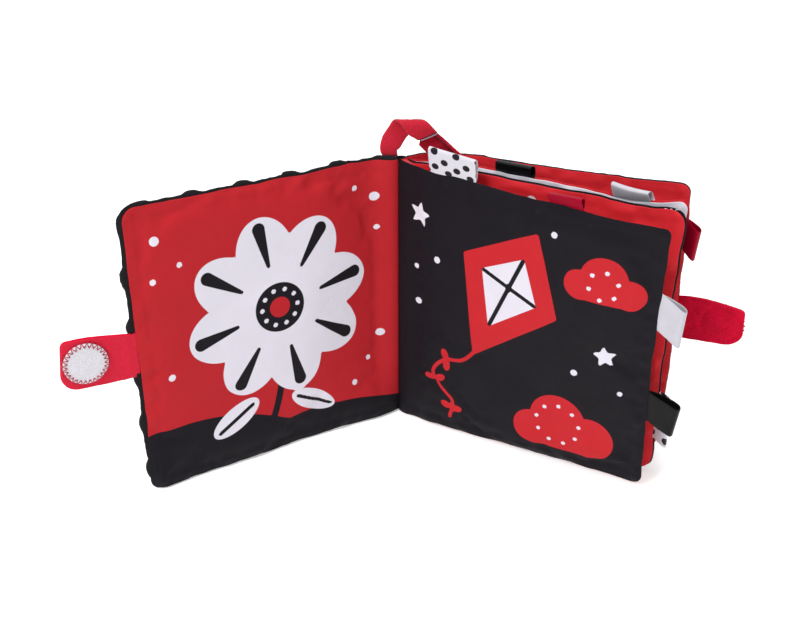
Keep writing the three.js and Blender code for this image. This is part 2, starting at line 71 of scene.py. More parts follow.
# seam, root, end, tip: directions in degrees, the last three at the foot and the head;
# pulled: how far the sewn fore-edge lies inside the pattern's, at the foot, half way and the head;
# corners: radii of the fore-edge's corners at the foot and the head; sag: the head's hollow;
# lift: how far the head stands up, in the middle and at the fore-edge; dip: a hollow in the head,
# its place, half width and depth; flare: how far the foot leans to the reader, at knots from the
# spine to the fore-edge; drop: how far the head falls by the spine, and over what length
LEAVES = {
    "front_cover": dict(
        side=-1, seam=-183, root=(-155, -158), end=(-147.8, -149.5), tip=(-147.8, -149.5),
        bend=0.166, run=0.207, cavity=2.3, pulled=(2.2, 3.0, 5.0), corners=(3.4, 7.5), sag=0,
        lift=(0, 0), dip=(75, 10, 0), drop=(0, 10),
        flare=((0, 13, 32, 60, 88, 118, 136, 145), (0, 6.8, 4.8, 3.2, 3.9, 3.1, 4.0, 1.6))),
    "leaf_1": dict(
        side=1, seam=-50, root=(-50, -66), end=(-26.8, -37.5), tip=(-26.8, -31), bend=0.207,
        run=0.31, cavity=2.0, pulled=(5.0, 3.3, -2.2), corners=(6.5, 3.5), sag=0,
        lift=(1.0, 1.1), dip=(115, 10, 0.4), drop=(0, 10),
        flare=((0, 90, 120, 145), (0, 0, 0.9, 3.0))),
    "leaf_2": dict(
        side=1, seam=-17, root=(-30, -50), end=(-24.0, -28.5), tip=(-24.0, -28.5), bend=0.31,
        run=0.31, cavity=2.0, pulled=(4.8, 4.2, 0.5), corners=(11.0, 7.6), sag=0,
        lift=(2.3, 2.3), dip=(124, 16, 1.9), drop=(2.4, 16),
        flare=((0, 90, 120, 145), (0, 0, 0.9, 2.8))),
    "leaf_3": dict(
        side=1, seam=14, root=(-9, -14), end=(-22.5, -30.5), tip=(-22.5, -30.5), bend=0.22,
        run=0.31, cavity=2.0, pulled=(7.5, 6.2, 2.2), corners=(6.0, 4.2), sag=0.6,
        lift=(0.6, 2.8), dip=(117, 17, 2.3), drop=(2.4, 30), flare=((0, 145), (0, 0))),
    "back_cover": dict(
        side=1, seam=46, root=(14, 14), end=(-21.5, -21), tip=(-21.5, -20), bend=0.166,
        run=0.207, cavity=2.3, pulled=(2.5, 0.2, 3.0), corners=(7.0, 4.2), sag=0,
        lift=(0.4, 0.1), dip=(42, 22, -1.5), drop=(1.4, 9), flare=((0, 145), (0, 0))),
}
# How high above the foot its lean to the reader ends
FLARE_H = 46


def ease(s):
    s = np.clip(s, 0, 1)
    return s * s * (3 - 2 * s)


def heading(leaf, u, hs):
    root, end, tip = (a + (b - a) * hs for a, b in (leaf["root"], leaf["end"], leaf["tip"]))
    across = u / PAGE_W
    bend = (root - end) * (1 - ease(across / leaf["bend"]))
    turn = (tip - end) * ease((across - 1) / leaf["run"] + 1)
    return np.radians(end + bend + turn)


def plan(leaf, u, hs):
    """Plan place on a leaf's middle surface."""
    u, hs = np.broadcast_arrays(np.asarray(u, float), np.asarray(hs, float))
    seam = math.radians(leaf["seam"])
    x = np.full(u.shape, SEAM_R * math.cos(seam))
    y = np.full(u.shape, SEAM_R * math.sin(seam))
    steps = 40
    for k in range(steps):
        h = heading(leaf, u * (k + 0.5) / steps, hs)
        x = x + np.cos(h) * u / steps
        y = y + np.sin(h) * u / steps
    return x, y


def leaf_frame(leaf, u, v):
    """Middle surface, unit normal to the reader and unit tangent, at u, v on the flat leaf."""
    up = np.clip(v / PAGE_H, 0, 1)
    foot, half, head = leaf["pulled"]
    pulled = foot + (4 * half - head - 3 * foot) * up + 2 * (head + foot - 2 * half) * up**2
    u = u * (1 - pulled / PAGE_W)
    hollow = TOP_DIP + leaf["sag"] * ease((up - 0.6) / 0.4) * ease((PAGE_W - u) / 45)
    height = v * (1 - hollow * np.sin(np.pi * np.clip(u / PAGE_W, 0, 1)) / PAGE_H)
    middle, corner = leaf["lift"]
    lift = middle * ease(u / 50) + (corner - middle) * ease((u - 129) / 12)
    place, half_width, depth = leaf["dip"]
    lift = lift - depth * np.exp(-(((u - place) / half_width) ** 2))
    fall, length = leaf["drop"]
    lift = lift - fall * (1 - ease(u / length))
    height = height + lift * ease((up - 0.45) / 0.5)
    bowed = FORE_DIP * np.sin(np.pi * np.clip(v / PAGE_H, 0, 1)) * ease(u / PAGE_W) ** 4
    x, y = plan(leaf, u - bowed, height / PAGE_H)
    h = heading(leaf, u, height / PAGE_H)
    zero = np.zeros_like(h)
    normal = leaf["side"] * np.stack([np.sin(h), -np.cos(h), zero], -1)
    tangent = np.stack([np.cos(h), np.sin(h), zero], -1)
    knots, flare = (np.array(row, float) for row in leaf["flare"])
    k = np.clip(np.searchsorted(knots, u) - 1, 0, len(knots) - 2)
    out = flare[k] + (flare[k + 1] - flare[k]) * ease((u - knots[k]) / (knots[k + 1] - knots[k]))
    out = out * (1 - ease(v / FLARE_H)) ** 1.3
    return np.stack([x, y, height], -1) + normal * out[..., None], normal, tangent


def half_cavity(leaf, u, v):
    side = np.minimum(u, PAGE_W - u) - SEAM_MARGIN
    end = np.minimum(v, PAGE_H - v) - SEAM_MARGIN
    crown = ease(side / CROWN_RUN) * ease(end / CROWN_RUN)
    return (LAYER_GAP + crown * (leaf["cavity"] - LAYER_GAP)) / 2


# ------------------------------------------------------------------ smooth seeded noise
def noise2(x, y, seed):
    """Smooth noise from -1 to 1 with a period of one unit between its knots."""
    table = np.random.RandomState(seed).uniform(-1, 1, (61, 67))
    xi, yi = np.floor(x).astype(int), np.floor(y).astype(int)
    fx, fy = ease(x - xi), ease(y - yi)
    a = table[xi % 61, yi % 67]
    b = table[(xi + 1) % 61, yi % 67]
    c = table[xi % 61, (yi + 1) % 67]
    d = table[(xi + 1) % 61, (yi + 1) % 67]
    return (a * (1 - fx) + b * fx) * (1 - fy) + (c * (1 - fx) + d * fx) * fy


# ------------------------------------------------------------------ mesh helpers
def unit(vectors):
    return vectors / np.linalg.norm(vectors, axis=-1, keepdims=True)


def new_mesh(name, points, faces, mats, face_mat=None, caps=()):
    """A mesh piece from points in millimetres, with its faces turned outward; an open tube's caps
    are given turned already."""
    points = np.asarray(points, float)
    faces = [tuple(int(i) for i in f) for f in faces]
    first = np.array([f[:3] for f in faces])
    rest = np.array([(f[0], f[2], f[3]) for f in faces if len(f) == 4]).reshape(-1, 3)
    tris = np.concatenate([first, rest.astype(int)])
    a, b, c = (points[tris[:, k]] for k in range(3))
    if (a * np.cross(b, c)).sum() < 0:
        faces = [f[::-1] for f in faces]
    mesh = bpy.data.meshes.new(name)
    mesh.from_pydata((points * MM).tolist(), [], faces + [tuple(int(i) for i in f) for f in caps])
    for m in mats:
        mesh.materials.append(m)
    if face_mat is not None:
        mesh.polygons.foreach_set("material_index", np.asarray(face_mat, np.int32))
    mesh.polygons.foreach_set("use_smooth", np.full(len(mesh.polygons), True))
    mesh.update()
    obj = bpy.data.objects.new(name, mesh)
    bpy.context.scene.collection.objects.link(obj)
    return obj


def put_values(obj, name, values):
    attribute = obj.data.attributes.new(name, "FLOAT", "POINT")
    attribute.data.foreach_set("value", np.asarray(values, np.float32))


def put_uv(obj, uv):
    """UV in millimetres, one pair for each vertex."""
    layer = obj.data.uv_layers.new(name="flat")
    loops = np.zeros(len(obj.data.loops), np.int32)
    obj.data.loops.foreach_get("vertex_index", loops)
    layer.data.foreach_set("uv", np.asarray(uv, np.float32)[loops].ravel())


def grid_quads(index):
    """Quads between the lines of a grid of point numbers."""
    corners = index[:-1, :-1], index[1:, :-1], index[1:, 1:], index[:-1, 1:]
    return np.stack(corners, -1).reshape(-1, 4)


# Turns a quad's other side up, from the same corner
FLIP = [0, 3, 2, 1]


def pad_quads(shape):
    """Faces of a closed pad of two grids that share their outer lines."""
    nu, nv = shape
    front = np.arange(nu * nv).reshape(nu, nv)
    back = front.copy()
    back[1:-1, 1:-1] = nu * nv + np.arange((nu - 2) * (nv - 2)).reshape(nu - 2, nv - 2)
    return np.concatenate([grid_quads(front), grid_quads(back)[:, ::-1]]), front, back


def join(front, back):
    """What belongs to the points of a closed pad, from what belongs to its two grids."""
    rows = (-1, *front.shape[2:])
    return np.concatenate([front.reshape(rows), back[1:-1, 1:-1].reshape(rows)])


def pad_mesh(name, shape, points, flat, mats):
    quads = pad_quads(shape)[0]
    face_mat = np.zeros(len(quads), int)
    face_mat[len(quads) // 2 :] = len(mats) > 1
    obj = new_mesh(name, points, quads, mats, face_mat)
    put_uv(obj, flat)
    return obj


def turned_body(name, ends, rings, material, flip=False):
    """A closed body of rings of points and a point at each end."""
    rings = np.array(rings)
    index = 1 + np.arange(rings[..., 0].size).reshape(rings.shape[:2])
    index = np.concatenate([index, index[:, :1]], 1)
    last = int(index.max()) + 1
    faces = [(0, a, b) for a, b in zip(index[0], index[0][1:])]
    faces += [tuple(quad) for quad in grid_quads(index)]
    faces += [(a, last, b) for a, b in zip(index[-1], index[-1][1:])]
    if flip:
        faces = [(f[0], *f[:0:-1]) for f in faces]
    points = np.concatenate([[ends[0]], rings.reshape(-1, 3), [ends[1]]])
    return new_mesh(name, points, faces, [material]), points


def outward_normals(points, quads):
    a, b, c, d = (points[quads[:, k]] for k in range(4))
    volume = (a * np.cross(b, c)).sum() + (a * np.cross(c, d)).sum()
    n = np.cross(c - a, d - b)
    out = np.zeros_like(points)
    for k in range(4):
        np.add.at(out, quads[:, k], n)
    length = np.linalg.norm(out, axis=1, keepdims=True)
    return out / np.maximum(length, 1e-9) * (1 if volume > 0 else -1)


# Distances of the grid lines from a rim, and how a rolled edge runs over them: how far each line
# lies inside the outline, and its share of the face's full offset
RIM = np.array([0, 0.2, 0.4, 0.7, 1.1, 1.7, 2.5, 3.5])
PAGE_RIM_IN = np.array([0.4, 0.12, 0, 0.04, 0.3, 1.0, 2.1, 3.5])
PAGE_RIM_OFF = np.array([0, 0.35, 0.6, 0.85, 1, 1, 1, 1])
PLUSH_RIM_IN = np.array([0.4, -0.9, -1.9, -2.45, -2.35, -1.4, 0.6, 3.5])
PLUSH_RIM_OFF = np.array([0, 0.04, 0.18, 0.45, 0.76, 1.0, 1.08, 1])
FAR_RIM_IN = np.array([0.4, -0.25, -0.6, -0.75, -0.55, 0.35, 1.7, 3.5])
FAR_RIM_OFF = np.array([0, 0.12, 0.35, 0.7, 1.1, 1.25, 1.15, 1])
# The far face of the leaf on top stays behind the reader's face
BEHIND_RIM_IN = np.array([0.4, 0.5, 0.6, 0.8, 1.1, 1.7, 2.5, 3.5])
BEHIND_RIM_OFF = np.array([0, 0.4, 0.7, 0.9, 1, 1, 1, 1])
# Share of the plush roll's width at the fore-edge and at the head and foot of each cover
ROLL = {"front_cover": (0.78, 0.42), "back_cover": (0.1, 0.12)}


def stations(length, step, rim=RIM):
    """Grid lines over a length, with the rim's lines at both ends."""
    inner = max(int(round((length - 2 * rim[-1]) / step)), 1)
    middle = np.linspace(rim[-1], length - rim[-1], inner + 1)[1:-1]
    return np.concatenate([rim, middle, length - rim[::-1]])


def rim_map(u, v, width, height, radii, rim_in, rim_in_v=None):
    """Where grid lines go when the outline's corners are rounded and its edge is rolled.

    radii are for the corners (low u, low v), (high u, low v), (high u, high v), (low u, high v);
    None keeps the grid square there. rim_in_v is the roll of the head and foot. Gives u, v."""
    rim_in_v = rim_in if rim_in_v is None else rim_in_v
    roll_u = lambda d: np.where(d < RIM[-1], np.interp(d, RIM, rim_in), d)
    roll_v = lambda d: np.where(d < RIM[-1], np.interp(d, RIM, rim_in_v), d)
    du, dv = np.minimum(u, width - u), np.minimum(v, height - v)
    high_u, high_v = u > width / 2, v > height / 2
    in_u, in_v = roll_u(du), roll_v(dv)
    for radius, cu, cv in zip(radii, (False, True, True, False), (False, False, True, True)):
        here = (high_u == cu) & (high_v == cv)
        if radius is None:
            if not cu:
                in_u = np.where(here, du, in_u)
            continue
        near, along = np.minimum(du, dv), np.maximum(du, dv)
        inside = here & (along < radius)
        angle = np.pi / 4 * (radius - along) / np.maximum(radius - near, 1e-6)
        turned = 2 * angle / np.pi
        share_u = np.where(du <= dv, 1 - turned, turned)
        reach = radius - share_u * roll_u(near) - (1 - share_u) * roll_v(near)
        across_in, along_in = radius - reach * np.cos(angle), radius - reach * np.sin(angle)
        in_u = np.where(inside, np.where(du <= dv, across_in, along_in), in_u)
        in_v = np.where(inside, np.where(du <= dv, along_in, across_in), in_v)
    return np.where(high_u, width - in_u, in_u), np.where(high_v, height - in_v, in_v)


def rim_off(u, v, width, height, rim, root=None):
    """Share of a face's full offset on each grid line; root replaces the profile at low u."""
    left = np.interp(u, RIM, rim if root is None else root)
    share = np.minimum(left, np.interp(width - u, RIM, rim))
    share = np.minimum(share, np.interp(v, RIM, rim))
    return np.minimum(share, np.interp(height - v, RIM, rim))


# ------------------------------------------------------------------ signed distances for prints
def disc(x, y, cx, cy, r):
    return np.hypot(x - cx, y - cy) - r


def oval(x, y, cx, cy, a, b, turn=0):
    """An ellipse's distance, near enough close to its line."""
    t = math.radians(turn)
    px = (x - cx) * math.cos(t) + (y - cy) * math.sin(t)
    py = -(x - cx) * math.sin(t) + (y - cy) * math.cos(t)
    k1 = np.hypot(px / a, py / b)
    k2 = np.hypot(px / a**2, py / b**2)
    return np.where(k2 < 1e-9, -min(a, b), k1 * (k1 - 1) / np.maximum(k2, 1e-9))


def bar(x, y, ax, ay, bx, by, ra, rb=None):
    """A straight stroke with round ends, tapering from radius ra to rb."""
    rb = ra if rb is None else rb
    dx, dy = bx - ax, by - ay
    t = np.clip(((x - ax) * dx + (y - ay) * dy) / (dx * dx + dy * dy), 0, 1)
    return np.hypot(x - ax - t * dx, y - ay - t * dy) - (ra + (rb - ra) * t)


def stroke(x, y, points, r):
    return any_of(*[bar(x, y, *a, *b, r) for a, b in zip(points, points[1:])])


def polygon(x, y, corners, soft=0):
    """A closed polygon's exact distance, with its corners rounded by soft."""
    out = np.full(x.shape, 1e6)
    inside = np.zeros(x.shape, bool)
    for (ax, ay), (bx, by) in zip(corners, corners[1:] + corners[:1]):
        dx, dy = bx - ax, by - ay
        t = np.clip(((x - ax) * dx + (y - ay) * dy) / (dx * dx + dy * dy), 0, 1)
        out = np.minimum(out, np.hypot(x - ax - t * dx, y - ay - t * dy))
        crosses = ((ay > y) != (by > y)) & (x < dx * (y - ay) / (dy if dy else 1e-9) + ax)
        inside ^= crosses
    return np.where(inside, -out, out) - soft


def any_of(*parts):
    out = parts[0]
    for p in parts[1:]:
        out = np.minimum(out, p)
    return out


def ring_of(count, cx, cy, r, turn=0):
    """Places round a circle, with the direction of each in degrees."""
    for k in range(count):
        deg = turn + 360 * k / count
        yield cx + r * math.cos(math.radians(deg)), cy + r * math.sin(math.radians(deg)), deg


def star_points(cx, cy, outer, inner, count=5, turn=90):
    out = []
    for k in range(2 * count):
        r = inner if k % 2 else outer
        deg = math.radians(turn + 180 * k / count)
        out.append((cx + r * math.cos(deg), cy + r * math.sin(deg)))
    return out


def curl(points, steps=12):
    """A smooth line through points."""
    p = [np.array(q, float) for q in (points[0], *points, points[-1])]
    out = []
    for k in range(1, len(p) - 2):
        a, b, c, d = p[k - 1 : k + 3]
        for s in np.linspace(0, 1, steps, endpoint=False):
            out.append(0.5 * (2 * b + (c - a) * s + (2 * a - 5 * b + 4 * c - d) * s**2
                              + (3 * b - a - 3 * c + d) * s**3))
    return np.array(out + [p[-1]])


def discs(x, y, rows):
    return [disc(x, y, *row) for row in rows]


def beads(x, y, r, *ring):
    """Small discs round a circle."""
    return discs(x, y, [(px, py, r) for px, py, _ in ring_of(*ring)])


RED = (0.53, 0.017, 0.024)
BLACK = (0.0078, 0.0064, 0.0098)
WHITE = (0.72, 0.70, 0.78)


# Each print is its ground colour and layers of (colour, distance), from the ground up.
# x runs from the left and y from the foot of the page, as the reader sees it.
def print_flower(x, y):
    cx, cy = 76, 83
    petals = [oval(x, y, px, py, 21, 15.5, deg) for px, py, deg in ring_of(8, cx, cy, 30, 12)]
    stripes = [bar(x, y, px, py, qx, qy, 1.0, 3.4) for (px, py, _), (qx, qy, _) in
               zip(ring_of(8, cx, cy, 24, 12), ring_of(8, cx, cy, 45, 12))]
    dots = discs(x, y, (
        (14, 132, 2.4), (25, 118, 1.5), (11, 112, 1.6), (133, 131, 2.4), (134, 114, 1.5),
        (122, 137, 1.6), (135, 52, 2.2), (128, 38, 1.5), (15, 60, 1.9), (118, 26, 1.7)))
    hill = any_of(disc(x, y, 20, -86, 118), disc(x, y, 96, -150, 168))
    stem = stroke(x, y, curl([(76, 50), (73, 34), (66, 16)]), 1.9)
    leaves = any_of(oval(x, y, 47, 27, 15, 6.2, 28), oval(x, y, 92, 24, 14, 5.8, 150))
    ribs = any_of(bar(x, y, 37, 21, 57, 32, 1.0), bar(x, y, 102, 18.5, 83, 29, 1.0))
    # The page's red ground is a darker copy of the page red RED: painted shade, making up for the
    # stronger light that falls on this page.
    ground = (0.455, 0.0150, 0.0215)
    return ground, [
        (BLACK, any_of(hill, stem)),
        (WHITE, any_of(*petals, disc(x, y, cx, cy, 26), leaves, *dots)),
        (BLACK, any_of(*stripes, disc(x, y, cx, cy, 13.5), ribs)),
        (WHITE, any_of(*beads(x, y, 1.35, 10, cx, cy, 9.8))),
        (ground, disc(x, y, cx, cy, 5.6)),
    ]


def print_kite(x, y):
    turn = math.radians(-24)
    spin = lambda px, py: (66 + px * math.cos(turn) - py * math.sin(turn),
                           94 + px * math.sin(turn) + py * math.cos(turn))
    body = [spin(0, 41), spin(27, 8), spin(0, -40), spin(-27, 8)]
    pane = [spin(0, 25), spin(15.5, 7), spin(0, -19), spin(-15.5, 7)]
    tail = curl([spin(0, -40), (42, 49.5), (31, 46), (24, 37), (28, 28), (35.5, 21), (34, 10)])
    bows = []
    for bx, by, deg in ((32, 46.4, 100), (24.8, 33, 12), (35, 17, -6)):
        a = math.radians(deg)
        for flip in (-1, 1):
            bows.append(oval(x, y, bx + flip * 3.5 * math.cos(a), by + flip * 3.5 * math.sin(a),
                             3.3, 2.1, deg + flip * 14))
    cloud = any_of(disc(x, y, 84, 20, 11), disc(x, y, 98, 29, 15.5), disc(x, y, 116, 22, 13),
                   polygon(x, y, [(82, 9.5), (118, 9.5), (118, 16), (82, 16)]))
    small = any_of(disc(x, y, 118, 118, 12), disc(x, y, 131, 113, 8), disc(x, y, 106, 113, 8),
                   polygon(x, y, [(106, 105.5), (131, 105.5), (131, 112), (106, 112)]))
    dots = beads(x, y, 1.25, 9, 98, 26, 12, 8) + beads(x, y, 1.25, 6, 118, 115, 7.6, 20)
    stars = [polygon(x, y, star_points(px, py, r, 0.45 * r, turn=t), 0.4)
             for px, py, r, t in ((16, 126, 6.4, 80), (122, 76, 6.0, 100))]
    stars += discs(x, y, ((27, 104, 1.9), (13, 96, 1.5), (106, 62, 1.9), (14, 76, 1.9),
                          (131, 56, 1.5), (92, 135, 1.7)))
    ribs = any_of(stroke(x, y, pane[::2], 1.1), stroke(x, y, pane[3::-2], 1.1))
    return BLACK, [
        (RED, any_of(polygon(x, y, body, 1.4), stroke(x, y, tail, 1.05), cloud, small, *bows)),
        (WHITE, any_of(polygon(x, y, pane, 0.8), *dots, *stars)),
        (BLACK, ribs),
    ]


def print_boat(x, y):
    hull = polygon(x, y, [(30, 46), (116, 46), (100, 24), (44, 24)], 3)
    sails = any_of(polygon(x, y, [(70, 56), (70, 126), (28, 56)], 1.5),
                   polygon(x, y, [(77, 56), (77, 112), (112, 56)], 1.5))
    waves = stroke(x, y, curl([(8 + 13 * k, 18 + 4 * (k % 2)) for k in range(11)]), 1.3)
    return RED, [
        (BLACK, any_of(hull, stroke(x, y, [(73.5, 48), (73.5, 130)], 1.3))),
        (WHITE, any_of(sails, waves, disc(x, y, 118, 124, 11))),
        (BLACK, any_of(*[bar(x, y, 69, h, 69 - (126 - h) * 0.5, h, 1.4) for h in (68, 82, 96)])),
    ]


def print_star(x, y):
    dots = discs(x, y, ((14, 20, 3), (128, 24, 3), (126, 128, 3), (12, 124, 3), (134, 76, 3)))
    # Its red ground is a lighter copy of the page red RED: painted light, making up for the shade
    # leaf 1 casts on this page.
    return (0.65, 0.024, 0.034), [
        (WHITE, polygon(x, y, star_points(66, 82, 60, 27, turn=84), 2.5)),
        (BLACK, any_of(polygon(x, y, star_points(66, 82, 30, 13.5, turn=84), 1.5), *dots)),
    ]


def print_tulips(x, y):
    parts, stems = [], []
    for cx, top in ((34, 96), (76, 118), (114, 88)):
        parts += [oval(x, y, cx - 8, top, 9, 18, -14), oval(x, y, cx + 8, top, 9, 18, 14),
                  oval(x, y, cx, top + 2, 8, 21)]
        stems += [bar(x, y, cx, 12, cx, top - 14, 1.6),
                  oval(x, y, cx + 9, 34, 14, 4.5, 55), oval(x, y, cx - 9, 30, 13, 4.5, 125)]
    return BLACK, [(WHITE, any_of(*stems)), (RED, any_of(*parts))]


def print_ball(x, y):
    cx, cy = 73, 76
    spoke = lambda a: (cx + 60 * math.cos(a), cy + 60 * math.sin(a))
    wedges = [polygon(x, y, [(cx, cy), spoke(a), spoke(a + 0.52)])
              for a in np.arange(6) * math.pi / 3 + 0.2]
    return WHITE, [
        (BLACK, disc(x, y, cx, cy, 50)),
        (WHITE, disc(x, y, cx, cy, 47.5)),
        (BLACK, np.maximum(any_of(*wedges), disc(x, y, cx, cy, 47))),
        (RED, any_of(*discs(x, y, ((cx, cy, 14), (16, 134, 5), (130, 18, 5))))),
    ]


def print_mushrooms(x, y):
    caps = any_of(np.maximum(disc(x, y, 54, 66, 38), 64 - y),
                  np.maximum(disc(x, y, 108, 44, 24), 42 - y))
    legs = any_of(bar(x, y, 54, 20, 54, 62, 9, 7), bar(x, y, 108, 18, 108, 42, 6.5, 5))
    dots = discs(x, y, ((40, 78, 5), (58, 88, 6), (74, 74, 4.5), (102, 54, 3.6), (114, 50, 3),
                        (56, 70, 3.6)))
    return RED, [(WHITE, any_of(legs, caps)), (BLACK, any_of(*dots))]


def print_umbrella(x, y):
    top = np.maximum(disc(x, y, 72, 66, 52), 66 - y)
    bites = any_of(*[disc(x, y, 72 + 17.33 * k * 2 - 34.66, 64, 14) for k in range(3)])
    handle = stroke(x, y, curl([(72, 112), (72, 40), (72, 26), (79, 19), (87, 25)]), 1.9)
    ribs = any_of(*[stroke(x, y, curl([(72, 117), (72 + 0.62 * d, 96), (72 + d, 68)]), 1.1)
                    for d in (-36, -17, 17, 36)])
    drops = [oval(x, y, px, py, 2.2, 4.4, -12) for px, py in ((18, 126), (34, 132), (112, 130),
                                                               (127, 118), (130, 96))]
    # Its red ground is a lighter copy of the page red RED: painted light, making up for the weaker
    # light that falls on the back cover's page.
    return (0.57, 0.019, 0.028), [
        (BLACK, handle),
        (WHITE, any_of(np.maximum(top, -bites), *drops)),
        (BLACK, np.maximum(ribs, -bites)),
    ]


PRINTS = {
    ("front_cover", 1): print_flower,
    ("leaf_1", 1): print_kite,
    ("leaf_1", -1): print_boat,
    ("leaf_2", 1): print_star,
    ("leaf_2", -1): print_tulips,
    ("leaf_3", 1): print_ball,
    ("leaf_3", -1): print_mushrooms,
    ("back_cover", 1): print_umbrella,
}
ART = 5


# ------------------------------------------------------------------ materials
class Shader:
    """A material's nodes; an input takes a value or another node's output."""

    def __init__(self, name):
        self.material = bpy.data.materials.new(name)
        self.material.use_nodes = True
        self.tree = self.material.node_tree
        self.bsdf = self.tree.nodes["Principled BSDF"]

    def fill(self, node, inputs):
        for key, value in inputs.items():
            socket = node.inputs[key]
            if isinstance(value, bpy.types.NodeSocket):
                self.tree.links.new(value, socket)
            else:
                socket.default_value = (*value, 1) if isinstance(value, tuple) else value

    def add(self, kind, inputs=None, **settings):
        """A new node; gives its outputs."""
        node = self.tree.nodes.new("ShaderNode" + kind)
        for key, value in settings.items():
            setattr(node, key, value)
        self.fill(node, inputs or {})
        return node.outputs

    def surface(self, **inputs):
        self.fill(self.bsdf, {key.replace("_", " "): value for key, value in inputs.items()})
        return self.material

    def noise(self, scale, detail=2.0, rough=0.5):
        return self.add("TexNoise", {"Vector": self.add("TexCoord")["Object"], "Scale": scale,
                                     "Detail": detail, "Roughness": rough})["Fac"]

    def ramp(self, value, low, high, to_low, to_high):
        return self.add("MapRange", {"Value": value, "From Min": low, "From Max": high,
                                     "To Min": to_low, "To Max": to_high})["Result"]

    def mix(self, fac, a, b, mode="MIX"):
        return self.add("Mix", {0: fac, 6: a, 7: b}, data_type="RGBA", blend_type=mode)[2]

    def bump(self, height, distance, strength=1.0, under=None):
        inputs = {"Height": height, "Distance": distance, "Strength": strength}
        if under is not None:
            inputs["Normal"] = under
        return self.add("Bump", inputs)["Normal"]

    def math(self, kind, a, b):
        return self.add("Math", {0: a, 1: b}, operation=kind)[0]

    def art(self, name, soft):
        """1 inside the shape whose distance an attribute holds, 0 outside."""
        return self.ramp(self.add("Attribute", attribute_name=name)["Fac"], -soft, soft, 1, 0)

    def mottled(self, colour, scale, detail, low, high):
        """A colour whose brightness varies softly."""
        tone = self.ramp(self.noise(scale, detail), 0.3, 0.7, low, high)
        grey = self.add("CombineColor", {0: tone, 1: tone, 2: tone})[0]
        return self.mix(1.0, colour, grey, "MULTIPLY")

    def ribs(self, period, axis):
        """Fine waves along an axis of the piece's own flat coordinates."""
        at = self.add("SeparateXYZ", {0: self.add("UVMap", uv_map="flat")["UV"]})[axis]
        return self.math("SINE", self.math("MULTIPLY", at, 2 * math.pi / period), 0)

    def weave(self, period):
        return self.math("MULTIPLY", self.ribs(period, 0), self.ribs(period, 1))


def print_material(name, ground, colours):
    """Printed polyester: the layers of the print over its ground, a fine weave and a soft sheen."""
    s = Shader(name)
    colour = ground
    for k, layer in enumerate(colours, 1):
        colour = s.mix(s.art(f"art_{k}", 0.13), colour, layer)
    crumple = s.bump(s.noise(210, 3, 0.55), 0.0005, 0.35)
    return s.surface(
        Base_Color=s.mottled(colour, 28, 3, 0.965, 1.035), Specular_IOR_Level=0.10,
        Roughness=s.ramp(s.noise(60, 2), 0.3, 0.7, 0.5, 0.62), Sheen_Weight=0.015,
        Sheen_Roughness=0.45, Sheen_Tint=(0.9, 0.88, 1),
        Normal=s.bump(s.weave(0.42), 0.00006, 0.5, crumple))


def plush_material(name, deep, tip, sheen):
    """Minky: short dense pile, darker in its roots, with a velvet sheen."""
    s = Shader(name)
    fine, lie = s.noise(2400, 2, 0.6), s.noise(160, 3, 0.6)
    fac = s.math("ADD", s.math("MULTIPLY", fine, 0.65), s.math("MULTIPLY", lie, 0.35))
    clumps = s.bump(s.noise(520, 3, 0.65), 0.0006, 0.6)
    return s.surface(
        Base_Color=s.mix(s.ramp(fac, 0.35, 0.65, 0, 1), deep, tip), Roughness=0.88,
        Specular_IOR_Level=0.18, Sheen_Weight=sheen, Sheen_Roughness=0.38,
        Sheen_Tint=tuple(min(1, 0.35 + 2 * c) for c in tip),
        Normal=s.bump(fine, 0.0004, 0.8, clumps))


def satin_material(name, colour, dots=None, roughness=0.3, shine=0.2):
    """Satin ribbon with fine ribs across it, softly mottled or with printed dots."""
    s = Shader(name)
    if dots is None:
        colour = s.mottled(colour, 90, 2, 0.94, 1.05)
    else:
        colour = s.mix(s.art("dots", 0.12), colour, dots)
    rough = s.ramp(s.noise(300, 2), 0.3, 0.7, roughness - 0.05, roughness + 0.07)
    return s.surface(Base_Color=colour, Roughness=rough, Specular_IOR_Level=shine,
                     Sheen_Weight=0.0, Normal=s.bump(s.ribs(0.24, 1), 0.00001, 0.25))


def fleece_material(name, colour, deep):
    """Knitted velour of the straps: smoother than minky, with soft pilling."""
    s = Shader(name)
    fac = s.ramp(s.noise(900, 4, 0.65), 0.35, 0.65, 0, 1)
    soft = s.bump(s.noise(900, 3, 0.7), 0.0003, 0.4)
    return s.surface(
        Base_Color=s.mix(fac, deep, colour), Roughness=0.85, Specular_IOR_Level=0.2,
        Sheen_Weight=0.4, Sheen_Roughness=0.4, Sheen_Tint=(1, 0.55, 0.60),
        Normal=s.bump(s.weave(0.55), 0.0001, 0.35, soft))


def tape_material(name, colour, scale):
    """Hook or loop tape: a dense field of tiny loops on a woven back."""
    s = Shader(name)
    loops = s.noise(scale, 3, 0.7)
    deep = tuple(0.72 * c for c in colour)
    return s.surface(Base_Color=s.mix(s.ramp(loops, 0.38, 0.6, 0, 1), deep, colour),
                     Roughness=0.8, Specular_IOR_Level=0.25, Sheen_Weight=0.35,
                     Normal=s.bump(loops, 0.0005, 0.8))


def thread_material(name, colour):
    """Twisted sewing thread."""
    s = Shader(name)
    return s.surface(Base_Color=s.mix(s.noise(1800, 2), tuple(0.8 * c for c in colour), colour),
                     Roughness=0.5, Specular_IOR_Level=0.4, Sheen_Weight=0.2,
                     Normal=s.bump(s.noise(2600, 1), 0.0001, 0.6))


